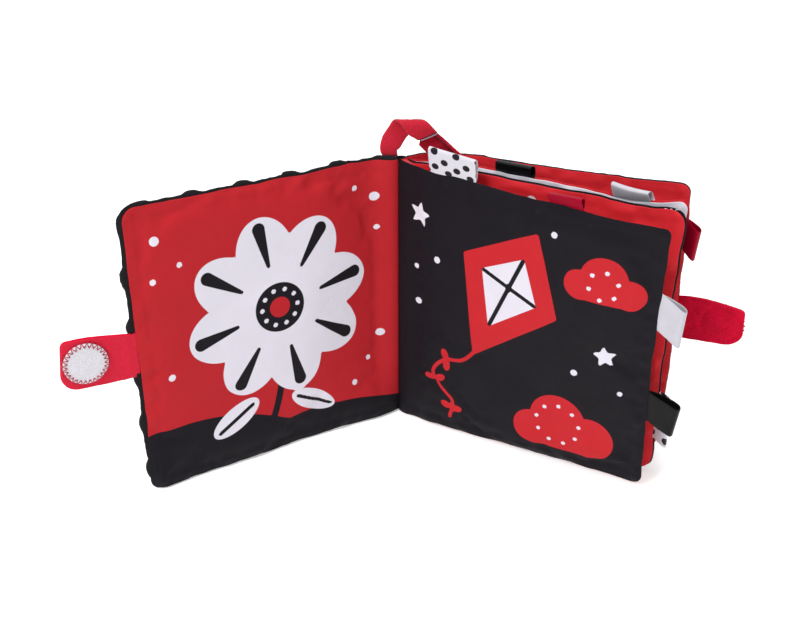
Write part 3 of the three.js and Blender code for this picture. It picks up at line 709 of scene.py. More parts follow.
black_minky = plush_material("black_minky", (0.0040, 0.0038, 0.0050), (0.013, 0.0125, 0.0155), 0.10)
red_minky = plush_material("red_minky", (0.50, 0.0002, 0.022), (0.78, 0.0004, 0.040), 0.04)
red_fleece = fleece_material("red_fleece", (0.64, 0.012, 0.040), (0.57, 0.009, 0.033))
strap_fleece = fleece_material("strap_fleece", (0.51, 0.012, 0.031), (0.45, 0.009, 0.025))
anchor_fleece = fleece_material("anchor_fleece", (0.54, 0.005, 0.026), (0.42, 0.003, 0.018))
SATINS = {
    "crimson": satin_material("crimson_satin", (0.30, 0.0008, 0.017), roughness=0.42, shine=0.05),
    "black": satin_material("black_satin", (0.0062, 0.0060, 0.0064), roughness=0.42, shine=0.11),
    "white": satin_material("white_satin", (0.535, 0.525, 0.58), roughness=0.36),
    "dotted": satin_material("dotted_satin", (0.62, 0.61, 0.665), BLACK, roughness=0.4),
}
loop_tape = tape_material("loop_tape", (0.80, 0.78, 0.84), 2600)
hook_tape = tape_material("hook_tape", (0.78, 0.75, 0.82), 3400)
red_thread = thread_material("red_thread", (0.42, 0.006, 0.030))
white_thread = thread_material("white_thread", (0.78, 0.76, 0.80))
dark_thread = thread_material("dark_thread", (0.06, 0.001, 0.006))

# ------------------------------------------------------------------ padded leaves
DOT_PITCH, DOT_ROW, DOT_R, DOT_RISE = 26.0, 13.0, 5.8, 2.3
# Where a dot's centre lies on each cover's plush, how far its rows run off the grain, and how
# far the head's row is pulled to the fore-edge
DOT_START = {"front_cover": (1.5, 153.5, -0.005, 4.0), "back_cover": (8.2, 143.8, 0.0, 0.0)}


def minky_height(u, v, seed, u0=1.5, v0=150.5, skew=0.0, pull=0.0):
    """Raised dots in staggered rows and the pile's own unevenness."""
    v = v + skew * u
    u = u - pull * ease((v - 140) / 12)
    k = np.round((v0 - v) / DOT_ROW)
    out = np.zeros(np.shape(u))
    for shift in (-1, 0, 1):
        row = k + shift
        start = u0 + np.where(row % 2 == 0, 0, DOT_PITCH / 2)
        cu = start + np.round((u - start) / DOT_PITCH) * DOT_PITCH
        r = np.hypot(u - cu, v - (v0 - row * DOT_ROW)) / DOT_R
        dome = np.clip(1 - r**2, 0, 1) ** 0.8
        out = np.maximum(out, DOT_RISE * dome)
    pile = 0.16 * noise2(u / 1.3, v / 1.3, seed) + 0.22 * noise2(u / 4.1, v / 4.7, seed + 1)
    return out + pile


def puckers(u, v, seed):
    """Small gathers that run in from the sewn edges, the turned-in seam allowance under the
    fabric, and the broad dents of soft wadding."""
    rng = np.random.RandomState(seed)
    out = np.zeros(np.shape(u))
    for edge, (along, depth) in enumerate(((u, PAGE_H - v), (u, v), (v, PAGE_W - u), (v, u))):
        wave = np.zeros(np.shape(u))
        for _ in range(6):
            length = rng.uniform(5, 17)
            phase = rng.uniform(0, 2 * math.pi)
            drift = rng.uniform(-0.3, 0.3)
            wave += np.sin(2 * np.pi * (along + drift * depth) / length + phase)
        strength = 0.5 + 0.5 * noise2(along / 23 + 7 * edge, 0 * along, seed + 9)
        envelope = np.exp(-depth / rng.uniform(5, 8)) * ease(depth / 1.8) * (0.5 + strength)
        out += wave * 0.10 * envelope * (0.4 if edge == 3 else 1)
        if edge != 3:
            line = depth + 0.55 * noise2(along / 9 + 11 * edge, 0 * along, seed + 3)
            out += 0.34 * (ease(line / 1.3) - ease((line - 4.3) / 1.9))
    out += 0.26 * noise2(u / 27 + seed, v / 31, seed + 5)
    out += 0.12 * noise2(u / 11, v / 12 + seed, seed + 6)
    inside = ease(np.minimum(np.minimum(u, PAGE_W - u), np.minimum(v, PAGE_H - v)) / 3)
    return out * inside


def wander(u, v, seed):
    """The sewn edges don't run dead straight: moves u and v near them, the same for both faces."""
    near = lambda d: np.exp(-np.maximum(d, 0) / 8)

    def wave(x, k):
        return noise2(x / 13, 0 * x + k, seed + k) + 0.5 * noise2(x / 5, 0 * x + k, seed + k)

    new_v = v + 0.40 * wave(u, 31) * near(PAGE_H - v) + 0.48 * (1.2 + wave(u, 37)) * near(v)
    new_u = u + 0.38 * wave(v, 41) * near(PAGE_W - u)
    return new_u, new_v


# Where the fabric of the open pages enters the gutter, and which way it leaves it, in degrees
GUTTER_DEG = {"front_cover": -103.6, "leaf_1": -102.4}
GUTTER_OUT_DEG = {"front_cover": -137, "leaf_1": -72}
BRIDGE, BRIDGE_START = 13.0, RIM[4]


def root_bridge(name, leaf, u, reader, middle):
    """Carries the reader's fabric of the two open pages on to the gutter, over the spine's core.

    Gives the reader's surface and the seam line for the grid lines next to the spine."""
    seam, gutter = math.radians(leaf["seam"]), math.radians(GUTTER_DEG[name])
    arc = np.clip(u / BRIDGE_START, 0, 1)
    angle = seam + (gutter - seam) * arc
    ray = np.stack([np.cos(angle), np.sin(angle)], -1)
    on_arc = np.interp(arc, [0, 0.2, 1], [SEAM_R, GUTTER_R, GUTTER_R])[..., None] * ray
    seam_arc = np.interp(arc, [0, 0.2, 1], [SEAM_R, 4.35, 4.5])[..., None] * ray
    last = np.argmin(np.abs(u[:, 0] - BRIDGE))
    p0 = reader[last, :, :2]
    ahead = unit(reader[last + 1, :, :2] - p0)
    g = GUTTER_R * np.array([math.cos(gutter), math.sin(gutter)])
    out = math.radians(GUTTER_OUT_DEG[name])
    start = np.array([math.cos(out), math.sin(out)])
    span = np.linalg.norm(p0 - g, axis=1, keepdims=True)
    s = np.clip((u - BRIDGE_START) / (u[last, 0] - BRIDGE_START), 0, 1)[..., None]
    h00, h10 = 2 * s**3 - 3 * s**2 + 1, s**3 - 2 * s**2 + s
    h01, h11 = -2 * s**3 + 3 * s**2, s**3 - s**2
    curve = h00 * g + h10 * start * span + h01 * p0 + h11 * ahead * span
    flat = np.where((u < BRIDGE_START)[..., None], on_arc, curve)
    bridged = (u < u[last, 0] - 1e-6)[..., None]
    reader[..., :2] = np.where(bridged, flat, reader[..., :2])
    step = np.gradient(curve, axis=0)
    side = np.stack([step[..., 1], -step[..., 0]], -1)
    side *= leaf["side"] / np.maximum(np.linalg.norm(side, axis=-1, keepdims=True), 1e-9)
    behind = curve - side * (PRINT_T + LAYER_GAP / 2)
    near = 1 - ease((u - 0.35 * BRIDGE) / (0.65 * BRIDGE))[..., None]
    seam_line = middle[..., :2] + (behind - middle[..., :2]) * near
    first = ease((u - BRIDGE_START) / 1.2)[..., None]
    seam_line = np.where((u <= BRIDGE_START)[..., None], seam_arc,
                         seam_arc + (seam_line - seam_arc) * first)
    middle[..., :2] = np.where(bridged, seam_line, middle[..., :2])
    return reader, middle


def leaf_surfaces(name, us, vs, seed, relief=True):
    """Both faces of a leaf on a grid, sewn round the edge and turned out.

    Gives the flat places, the points and the share of the full offset, for each face."""
    leaf, cover, bridges = LEAVES[name], name.endswith("cover"), name in GUTTER_DEG
    gu, gv = np.meshgrid(us, vs, indexing="ij")
    radii = (None, *leaf["corners"], None)
    far_rim = far_rim_v = FAR_RIM_IN
    far_off, far_thick = FAR_RIM_OFF, PRINT_T
    if name == "leaf_1":
        far_rim = far_rim_v = BEHIND_RIM_IN
        far_off = BEHIND_RIM_OFF
    if cover:
        far_rim, far_rim_v = (PAGE_RIM_IN + (PLUSH_RIM_IN - PAGE_RIM_IN) * share
                              for share in ROLL[name])
        far_off, far_thick = PLUSH_RIM_OFF, PLUSH_T + 0.35
    ru, rv = rim_map(gu, gv, PAGE_W, PAGE_H, radii, PAGE_RIM_IN)
    fu, fv = rim_map(gu, gv, PAGE_W, PAGE_H, radii, far_rim, far_rim_v)
    r_share = rim_off(gu, gv, PAGE_W, PAGE_H, PAGE_RIM_OFF, np.minimum(RIM / RIM[1], 1) if bridges
                      else None)
    f_share = rim_off(gu, gv, PAGE_W, PAGE_H, far_off)

    mid, normal, _ = leaf_frame(leaf, *wander(ru, rv, seed))
    off = half_cavity(leaf, ru, rv) + PRINT_T
    if relief:
        off = off + puckers(ru, rv, seed)
    reader = mid + normal * off[..., None]
    if bridges:
        reader, mid = root_bridge(name, leaf, gu, reader, mid)
    front = mid + (reader - mid) * r_share[..., None]

    fmid, fnormal, _ = leaf_frame(leaf, *wander(fu, fv, seed))
    off = half_cavity(leaf, np.clip(fu, 0, PAGE_W), np.clip(fv, 0, PAGE_H)) + far_thick
    if relief and not cover:
        off = off + puckers(fu, fv, seed + 50)
    far = fmid - fnormal * off[..., None]
    if bridges:
        fmid[..., :2] = np.where((gu < BRIDGE)[..., None], mid[..., :2], fmid[..., :2])
    back = fmid + (far - fmid) * f_share[..., None]
    return (ru, rv, front), (fu, fv, back), f_share


# ------------------------------------------------------------------ cloth simulation of the pads
COARSE, COARSE_STEP = np.array([0, 1.1, 3.5]), 4.6
SIM_FRAMES = 20
CLOTH = dict(quality=6, mass=0.12, tension_stiffness=15, compression_stiffness=15,
             shear_stiffness=6, bending_stiffness=0.15, shrink_min=-0.016, shrink_max=-0.016,
             use_pressure=True, uniform_pressure_force=4, vertex_group_mass="sewn")


def simulate_pads(seeds):
    """Blows the leaves up as cloth bags pinned at their seams.

    Gives, for each leaf, its grid lines and how far each face moved there."""
    us, vs = (stations(length, COARSE_STEP, COARSE) for length in (PAGE_W, PAGE_H))
    gu, gv = np.meshgrid(us, vs, indexing="ij")
    quads, f_index, b_index = pad_quads(gu.shape)
    rim = np.minimum(np.minimum(PAGE_W - gu, gv), PAGE_H - gv)
    bags, moved = {}, {}
    for name, seed in seeds.items():
        (_, _, front), (_, _, back), _ = leaf_surfaces(name, us, vs, seed, relief=False)
        bags[name] = bag = new_mesh(f"{name}_bag", join(front, back), quads, [])
        sewn = (rim < 1.2) | (gu < (15.0 if name in GUTTER_DEG else 4.0))
        group = bag.vertex_groups.new(name="sewn")
        group.add([int(i) for i in np.flatnonzero(join(sewn, sewn))], 1.0, "REPLACE")
        cloth = bag.modifiers.new("cloth", "CLOTH")
        for key, value in CLOTH.items():
            setattr(cloth.settings, key, value)
        cloth.settings.effector_weights.gravity = 0
        cloth.collision_settings.use_collision = False
        cloth.point_cache.frame_start = 1
        cloth.point_cache.frame_end = SIM_FRAMES
    for f in range(1, SIM_FRAMES + 1):
        bpy.context.scene.frame_set(f)
    graph = bpy.context.evaluated_depsgraph_get()
    for name, bag in bags.items():
        before, after = np.empty((2, 3 * len(bag.data.vertices)))
        bag.data.vertices.foreach_get("co", before)
        bag.evaluated_get(graph).to_mesh().vertices.foreach_get("co", after)
        delta = ((after - before) / MM).reshape(-1, 3)
        moved[name] = (us, vs, delta[f_index], delta[b_index])
    for bag in bags.values():
        mesh = bag.data
        bpy.data.objects.remove(bag)
        bpy.data.meshes.remove(mesh)
    bpy.context.scene.frame_set(1)
    return moved


def smooth_along(knots, values, x):
    """Smooth curves through values at knots along their first axis."""
    slopes = np.gradient(values, knots, axis=0)
    i = np.clip(np.searchsorted(knots, x, "right") - 1, 0, len(knots) - 2)
    h = (knots[i + 1] - knots[i])[:, None, None]
    t = ((x - knots[i])[:, None, None]) / h
    return ((2 * t**3 - 3 * t**2 + 1) * values[i] + (t**3 - 2 * t**2 + t) * h * slopes[i]
            + (3 * t**2 - 2 * t**3) * values[i + 1] + (t**3 - t**2) * h * slopes[i + 1])


def spread(us, vs, values, u, v):
    """Values of the coarse grid at the lines of a fine one."""
    along_u = smooth_along(us, values, u)
    return smooth_along(vs, along_u.swapaxes(0, 1), v).swapaxes(0, 1)


def capped(delta, outward, limit, depth):
    """The movement held to a limit, and inward to a share of the depth, so no faces cross."""
    out = (delta * outward).sum(-1)
    aside = delta - out[..., None] * outward
    length = np.maximum(np.linalg.norm(aside, axis=-1), 1e-9)
    aside = aside * (0.6 * limit * np.tanh(length / (0.6 * limit)) / length)[..., None]
    low = 0.4 * np.minimum(depth, limit / 0.4)
    out = np.where(out > 0, limit * np.tanh(out / limit), low * np.tanh(out / low))
    return aside + out[..., None] * outward


def room(name, face, u):
    """How far a face may move: little near the spine, where the leaves lie close."""
    if (name, face) in (("front_cover", 1), ("leaf_1", 1)):
        return 0.5 + 0.9 * ease((u - 10) / 40)
    if name.endswith("cover") and face == -1:
        return 0.5 + 0 * u
    return 0.12 + 0.75 * ease((u - 18) / 70)


def leaf_pad(name, step, seed, moved):
    """One leaf as one closed mesh with its prints and its plush."""
    leaf = LEAVES[name]
    us, vs = stations(PAGE_W, step), stations(PAGE_H, step)
    (ru, rv, front), (fu, fv, back), f_share = leaf_surfaces(name, us, vs, seed)
    if name in moved:
        cu, cv, *moves = moved[name]
        for face, u, v, grid, move in zip((1, -1), (ru, fu), (rv, fv), (front, back), moves):
            outward = face * leaf_frame(leaf, u, v)[1]
            depth = half_cavity(leaf, np.clip(u, 0, PAGE_W), np.clip(v, 0, PAGE_H)) + 0.3
            grid += capped(spread(cu, cv, move, us, vs), outward, room(name, face, u), depth)
    points = join(front, back)
    flat = join(np.stack([ru, rv], -1), np.stack([fu, fv], -1))
    if name.endswith("cover"):
        u, v = flat.T
        rise = minky_height(u, v, seed + 20, *DOT_START[name])
        share = np.minimum(1, 1.5 * join(0 * f_share, f_share))
        by_root = 0.25 + 0.75 * ease((u - 4) / 10)
        corner = ease((u - PAGE_W + 16) / 10) * ease((v - PAGE_H + 26) / 12)
        rise = rise * share * by_root * (1 - 0.6 * corner)
        points = points + outward_normals(points, pad_quads(ru.shape)[0]) * rise[:, None]
    points[:, 2] = np.maximum(points[:, 2], 0.06)

    mats, layers = [], []
    for side, u, v in ((1, ru, rv), (-1, fu, fv)):
        if (name, side) in PRINTS:
            mirrored = (leaf["side"] == -1) == (side == 1)
            ground, art = PRINTS[name, side](PAGE_W - u if mirrored else u, v)
            colours, distances = zip(*art)
            face = "front" if side == 1 else "back"
            mats.append(print_material(f"{name}_{face}_print", ground, colours))
        else:
            mats.append(black_minky)
            distances = ()
        layers.append(distances)
    obj = pad_mesh(f"{name}_pad", ru.shape, points, flat, mats)
    for k in range(ART):
        sides = [have[k] if k < len(have) else np.full(ru.shape, 5.0) for have in layers]
        put_values(obj, f"art_{k + 1}", join(*sides))
    return obj


SEEDS = {name: 11 + 7 * k for k, name in enumerate(LEAVES)}
moved = simulate_pads(SEEDS)
for name, seed in SEEDS.items():
    pad = leaf_pad(name, 1.25, seed, moved)
    cover = name.endswith("cover")
    if name == "front_cover":
        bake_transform(pad)
    elif name == "leaf_1":
        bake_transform(pad)
    else:
        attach(pad, name)
    first, second = ("page", "plush") if cover else ("front_page", "back_page")
    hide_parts(f"{name}_{first}", f"{name}_{second}", f"{name}_wadding", f"{name}_film")
    {"leaf_1": "black_print", "leaf_3": "white_print"}.get(name, "red_print")


# ------------------------------------------------------------------ a flat pad on any surface
def flat_pad(name, width, height, step, place, offs, mats, radii, rims=(PAGE_RIM_IN, PAGE_RIM_IN),
             rise=None, fade=None):
    """A closed pad of two faces over a rounded rectangle; place(u, v, off) gives the points."""
    us, vs = stations(width, step), stations(height, step)
    gu, gv = np.meshgrid(us, vs, indexing="ij")
    share = rim_off(gu, gv, width, height, PAGE_RIM_OFF)
    grids, flats = [], []
    for side, rim, off in zip((1, -1), rims, offs):
        u, v = rim_map(gu, gv, width, height, radii, rim)
        off = (off * fade(u) if fade else off) * share
        grids.append(place(u, v, side * (off + (rise(u, v, side) * share if rise else 0))))
        flats.append(np.stack([u, v], -1))
    return pad_mesh(name, gu.shape, join(*grids), join(*flats), mats)


# ------------------------------------------------------------------ closing straps
STRAP_W, STRAP_L = 24.5, 33.0
DISC_R = 10.5
DISC_AT = STRAP_L - 0.9 - DISC_R
STRAP_BACK_IN = PAGE_RIM_IN - np.array([0, 0.15, 0.25, 0.3, 0.25, 0.15, 0.05, 0])
UP = np.array([0.0, 0, 1])


def thread_line(name, points, radius, material, sides=6):
    """A run of thread as a tube, closed where its ends meet; points are in millimetres."""
    points = np.asarray(points, float)
    closed = np.linalg.norm(points[0] - points[-1]) < 1e-6
    if closed:
        points = points[:-1]
        along = np.roll(points, -1, 0) - np.roll(points, 1, 0)
    else:
        along = np.gradient(points, axis=0)
    along /= np.maximum(np.linalg.norm(along, axis=1, keepdims=True), 1e-9)
    one = unit(np.cross(along, [0.31, 0.42, 0.85]))
    two = np.cross(along, one)
    turns = [2 * math.pi * k / sides for k in range(sides)]
    rings = [points + radius * (math.cos(a) * one + math.sin(a) * two) for a in turns]
    index = np.arange(len(points) * sides).reshape(-1, sides)
    caps = [] if closed else [index[0][::-1], index[-1]]
    index = np.concatenate([index, index[:, :1]], 1)
    if closed:
        index = np.concatenate([index, index[:1]])
    return new_mesh(name, np.stack(rings, 1).reshape(-1, 3), grid_quads(index)[:, FLIP],
                    [material], caps=caps)


def lathe_disc(name, centre, normal, radius, near, far, material, seed):
    """A sewn-on disc with a soft edge, its face a little uneven, between two offsets."""
    side = np.cross(UP, normal)
    steps, segments = 16, 72
    thick = far - near
    profile = [(radius * math.sin(0.5 * math.pi * k / steps),
                near + thick * (0.35 + 0.65 * math.cos(0.5 * math.pi * k / steps) ** 0.35))
               for k in range(1, steps)]
    profile += [(radius, near + 0.3 * thick), (radius - 0.15, near), (radius * 0.5, near)]
    a = np.linspace(0, 2 * np.pi, segments, endpoint=False)
    rings = []
    for r, off in profile:
        x, y = r * np.cos(a), r * np.sin(a)
        uneven = 0.06 * noise2(x / 1.1 + 30, y / 1.1 + 30, seed) if off > near + 0.1 else 0 * x
        rings.append(centre + np.outer(x, side) + np.outer(y, UP) + np.outer(off + uneven, normal))
    ends = centre + normal * (near + thick), centre + normal * near
    obj, points = turned_body(name, ends, rings, material)
    put_uv(obj, (points - centre) @ np.stack([side, UP], -1))
    return obj


def zigzag_ring(centre, normal, inner, outer, lift_in, lift_out, count):
    """Line of a zigzag stitch round a disc; its ends dip into the fabric."""
    side = np.cross(UP, normal)

    def corner(k):
        r, lift = (inner, lift_in) if k % 2 else (outer, lift_out)
        a = math.pi * k / count
        return centre + side * r * math.cos(a) + UP * r * math.sin(a) + normal * lift

    points = []
    for k in range(2 * count):
        at, to = corner(k), corner(k + 1)
        for t in (0.0, 0.12, 0.5, 0.88):
            hump = 0.16 * math.sin(math.pi * t) - (0.22 if t == 0 else 0)
            points.append(at + (to - at) * t + normal * hump)
    return points + points[:1]


def closing_strap(name, leaf, heading_deg, height, length, widths, skew, swell, tilt, corners,
                  disc_shift, disc_name, disc_mat, seed):
    """Strap, disc and the zigzag round the disc.

    skew, swell and tilt: how far the end is cut off square, the upper edge bulges, and the end
    stands up; disc_shift: how far the disc lies from its usual place, out and up."""
    mid, _, tangent = leaf_frame(LEAVES[leaf], np.array(PAGE_W), np.array(height))
    h = math.radians(heading_deg)
    out = np.array([math.cos(h), math.sin(h), 0])
    normal = np.array([-out[1], out[0], 0])
    foot = mid + tangent * 0.7

    def place(u, v, off):
        far, arch = ease(u / STRAP_L), np.sin(np.pi * np.clip(u / STRAP_L, 0, 1))
        dip = 0.5 * np.sin(2 * np.pi * v / STRAP_W) * far
        slant = skew * (0.5 - v / STRAP_W) * far
        at = foot + (u - 1.0 + slant)[..., None] * out
        at = at + np.multiply.outer(off - 0.25 * 0.9 * arch + 0.3 * dip, normal)
        width = widths[0] + (widths[1] - widths[0]) * ease(u / (0.75 * STRAP_L))
        at[..., 2] += (v - STRAP_W / 2) * width / STRAP_W
        at[..., 2] += swell * arch * v / STRAP_W
        at[..., 2] += tilt * far
        return at

    def rise(u, v, side):
        """Pile, and on the plush the dimpled ring where the disc's stitches pull through."""
        pile = 0.14 * noise2(u / 1.2, v / 1.2, seed + side) + 0.16 * noise2(u / 4, v / 4, seed + 3)
        if side == 1:
            return pile
        x, y = u - 1 - DISC_AT, v - STRAP_W / 2
        ring = np.exp(-(((np.hypot(x, y) - DISC_R + 0.8) / 1.3) ** 2))
        return pile - ring * (0.45 + 0.2 * np.sin(26 * np.arctan2(y, x)))

    strap = flat_pad(f"{name}_cloth", length + 1.0, STRAP_W, 0.7, place, (0.85, 1.35),
                     [red_fleece, red_minky], (None, *corners, None), (PAGE_RIM_IN, STRAP_BACK_IN),
                     rise, fade=lambda u: 0.35 + 0.65 * ease(u / 6))
    start, end = place(np.array([0.5, 7.0]), np.full(2, STRAP_W / 2), np.zeros(2)) * MM
    tuple(start)
    tuple(end)
    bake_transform(strap)
    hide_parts(f"{name}_plush", f"{name}_lining")
    centre = foot + out * (DISC_AT + disc_shift[0]) + np.array([0, 0, disc_shift[1]])
    patch = lathe_disc(f"{disc_name}_patch", centre, normal, DISC_R, 0.75, 2.05, disc_mat, seed)
    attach(patch, name)
    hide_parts(disc_name)
    ring = zigzag_ring(centre, normal, 8.5, 11.1, 2.12, 1.15, 27)
    stitches = thread_line(f"{disc_name}_stitches", ring, 0.24, red_thread)
    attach(stitches, name)


closing_strap("front_strap", "front_cover", -153, 76.1, 35.2, (23.2, 25.4), 3.4, 0, 2.0,
              (8.5, 2.4), (2.4, 2.3), "hook_disc", loop_tape, 301)
closing_strap("back_strap", "back_cover", -27, 81.4, 32.0, (22.0, 19.6), 0.8, 1.8, 0,
              (10.0, 2.2), (0, 0), "loop_disc", hook_tape, 331)

# ------------------------------------------------------------------ ribbon tabs
RIBBON_T, PLY_GAP, TAB_GAP, TAB_TUCK = 0.35, 0.12, 0.3, 1.1
TAB_LOOP = np.array([[0, 0], [-0.4, 0.16], [-0.75, 0.42], [-1, 0.74], [-0.8, 0.93], [0, 1],
                     [0.8, 0.93], [1, 0.74], [0.75, 0.42], [0.4, 0.16], [0, 0]])
# Leaf, edge, width, and shares: start along the edge, reach out, bulge, lean, slip along the
# edge; then how far the near ply's end lies along the edge from the far ply's, how much shorter
# the loop is at its low end, and the ribbon
TABS = [
    ("dotted_top_tab", "leaf_1", "top", 26.8, 0.147, 0.405, 0.035, 0.03, 0, 0, -0.12, "dotted"),
    ("crimson_top_tab", "leaf_1", "top", 17.0, 0.602, 0.34, 0.08, 0.10, 0, 0.6, 0.2, "crimson"),
    ("black_top_tab", "leaf_3", "top", 19.0, 0.338, 0.30, 0.08, 0.06, 0, -2.4, 0.06, "black"),
    ("white_top_tab", "leaf_3", "top", 18.2, 0.760, 0.27, 0.09, 0.06, -0.10, -2.0, -0.42, "white"),
    ("white_side_tab", "leaf_1", "fore", 20.0, 0.645, 0.60, 0.085, 0.08, -0.26, 0.6, 0.06,
     "white"),
    ("black_side_tab", "leaf_1", "fore", 18.0, 0.284, 0.87, 0.13, 0.07, -0.24, -0.8, 0.16,
     "black"),
    ("crimson_side_tab", "leaf_3", "fore", 15.2, 0.846, 0.48, 0.14, 0.03, -0.34, 0.6, 0.05,
     "crimson"),
    ("dotted_side_tab", "leaf_2", "fore", 29.0, 0.149, 0.205, 0.05, 0.017, -0.12, 0, -0.10,
     "dotted"),
]


def tab_path(width, reach, bulge, lean, steps=5):
    """The ribbon's line from one sewn end to the other, as offset and distance out."""
    knots = []
    for k, (off, out) in enumerate(TAB_LOOP):
        ply = np.sign(k - len(TAB_LOOP) // 2) * (PLY_GAP + RIBBON_T) / 2
        knots.append((ply + width * (off * bulge + out**2 * lean), TAB_GAP + out * reach * width))
    tucked = [(knot[0], knot[1] - TAB_TUCK) for knot in (knots[0], knots[-1])]
    return curl([tucked[0], *knots, tucked[1]], steps)


def run_along(path):
    return np.concatenate([[0], np.cumsum(np.linalg.norm(np.diff(path, axis=0), axis=1))])


def strip_uv(run, across):
    return np.stack(np.meshgrid(run, across, indexing="ij"), -1)[..., ::-1]


def ribbon_dots(x, y, length):
    """Distance to the dots, four to a repeat of the print."""
    dots = np.full(len(x), 9.0)
    for repeat in (-1, 0, 1):
        for shift, row in ((0, 0), (5.6, 4.3), (0.2, 7.0), (7.6, 9.4)):
            first = 3.6 + shift
            cx = first + np.round((x - first) / 12.4) * 12.4
            cy = length / 2 + 1.5 + row + 13.4 * repeat
            dots = np.minimum(dots, oval(x, y, cx, cy, 2.05, 1.5))
    return dots


def ribbon_tab(name, leaf_name, edge, width, start, reach, bulge, lean, slip, offset, taper,
               look, seed):
    leaf = LEAVES[leaf_name]
    path = tab_path(width, reach, bulge, lean)
    run = run_along(path)
    along = unit(np.gradient(path, axis=0))
    across = np.stack([-along[:, 1], along[:, 0]], -1)
    shares = np.array([0, 0.02, 0.06, 0.15, 0.28, 0.42, 0.58, 0.72, 0.85, 0.94, 0.98, 1])
    if look == "dotted":
        shares = np.concatenate([[0, 0.01], np.linspace(0.03, 0.97, 42), [0.99, 1]])
    up = np.tile(UP, (len(shares), 1))
    if edge == "top":
        u = start * PAGE_W + shares * width
        foot, normal, slide = leaf_frame(leaf, u, np.full(u.shape, PAGE_H))
        out = up
    else:
        v = start * PAGE_H + shares * width
        foot, normal, out = leaf_frame(leaf, np.full(v.shape, PAGE_W), v)
        slide = up
    outs = np.maximum(path[:, 1] - TAB_GAP, 0) / (reach * width)
    shift = slip * width * outs + offset * (run / run[-1] - 0.5)
    edge_t = np.interp(shares, [0, 0.02, 0.06, 0.94, 0.98, 1], [0.35, 0.9, 1.0, 1.0, 0.9, 0.35])
    sheets = np.zeros((2, len(path), len(shares), 3))
    for sheet, ply in zip(sheets, (-0.5, 0.5)):
        for s, share in enumerate(shares):
            wobble = 0.22 * noise2(run / 5.5 + seed, np.full(len(run), share * 2.1), seed)
            thick = ply * RIBBON_T * edge_t[s]
            x = path[:, 0] + across[:, 0] * thick + wobble * ease(outs / 0.3)
            y = path[:, 1] * (1 - taper * (1 - share) * outs) + across[:, 1] * thick
            sheet[:, s] = (foot[s] + np.outer(x, normal[s]) + np.outer(y, out[s])
                           + np.outer(shift, slide[s]))
    index = np.arange(sheets[..., 0].size).reshape(sheets.shape[:3])
    faces = np.concatenate([
        grid_quads(index[0])[:, FLIP], grid_quads(index[1]),
        grid_quads(index[:, :, 0])[:, FLIP], np.roll(grid_quads(index[:, :, -1]), -1, axis=1),
        grid_quads(index[:, 0]), grid_quads(index[:, -1])[:, FLIP]])
    obj = new_mesh(f"{name}_ribbon", sheets.reshape(-1, 3), faces, [SATINS[look]])
    uv = np.concatenate([strip_uv(run, shares * width).reshape(-1, 2)] * 2)
    put_uv(obj, uv)
    if look == "dotted":
        put_values(obj, "dots", ribbon_dots(*uv.T, run[-1]))
    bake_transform(obj)
    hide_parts(name)


for number, tab in enumerate(TABS):
    ribbon_tab(*tab, 401 + 3 * number)


# ------------------------------------------------------------------ spine
def spine_core():
    """The sewn stack of seam allowances, which shows at the head and foot of the spine."""
    segments = 56
    angles = np.linspace(0, 2 * np.pi, segments, endpoint=False)
    tape = (np.degrees(angles) > 52) & (np.degrees(angles) < 176)
    radius = np.where(tape, 2.68, 3.62)
    levels = [(0.9, 0.1), (1, 0.6), *[(1, z) for z in np.linspace(6, 141, 24)], (1, 145.0),
              (0.9, 145.6)]
    rings = []
    for share, z in levels:
        r = radius * share + 0.05 * noise2(angles * 3, np.full(segments, z / 9), 77)
        rings.append(np.stack([r * np.cos(angles), r * np.sin(angles), np.full(segments, z)], -1))
    s = Shader("seam_allowances")
    layers = s.add("TexWave", {"Vector": s.add("TexCoord")["Object"], "Scale": 320,
                               "Distortion": 1.4}, wave_type="BANDS", bands_direction="DIAGONAL")
    stack = s.surface(
        Base_Color=s.mix(s.ramp(layers["Fac"], 0.62, 0.7, 0, 1), (0.007, 0.0065, 0.0085),
                         (0.05, 0.005, 0.007)),
        Roughness=0.8, Sheen_Weight=0.2, Normal=s.bump(s.noise(1500, 3), 0.0004, 0.6))
    core, _ = turned_body("spine_core", ((0, 0, 0.1), (0, 0, 145.3)), rings, stack, flip=True)
    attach(core, "back_cover")
    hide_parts("spine_seam_stack")


def spine_plush():
    """The plush that runs round the back of the spine from cover to cover."""
    start, end = math.radians(43), math.radians(170)
    middle_r = 4.15

    def place(u, v, off):
        a = start + u / middle_r
        r = middle_r + off
        return np.stack([r * np.cos(a), r * np.sin(a), v + 0.1], -1)

    def rise(u, v, side):
        return np.minimum(minky_height(u + 22.5, v, 91), 1.2) if side == 1 else 0 * u

    piece = flat_pad("spine_plush", (end - start) * middle_r, 148.2, 1.1, place, (0.75, 0.4),
                     [black_minky], (None,) * 4, rise=rise)
    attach(piece, "back_cover")
    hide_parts("spine_tape")


spine_core()
spine_plush()

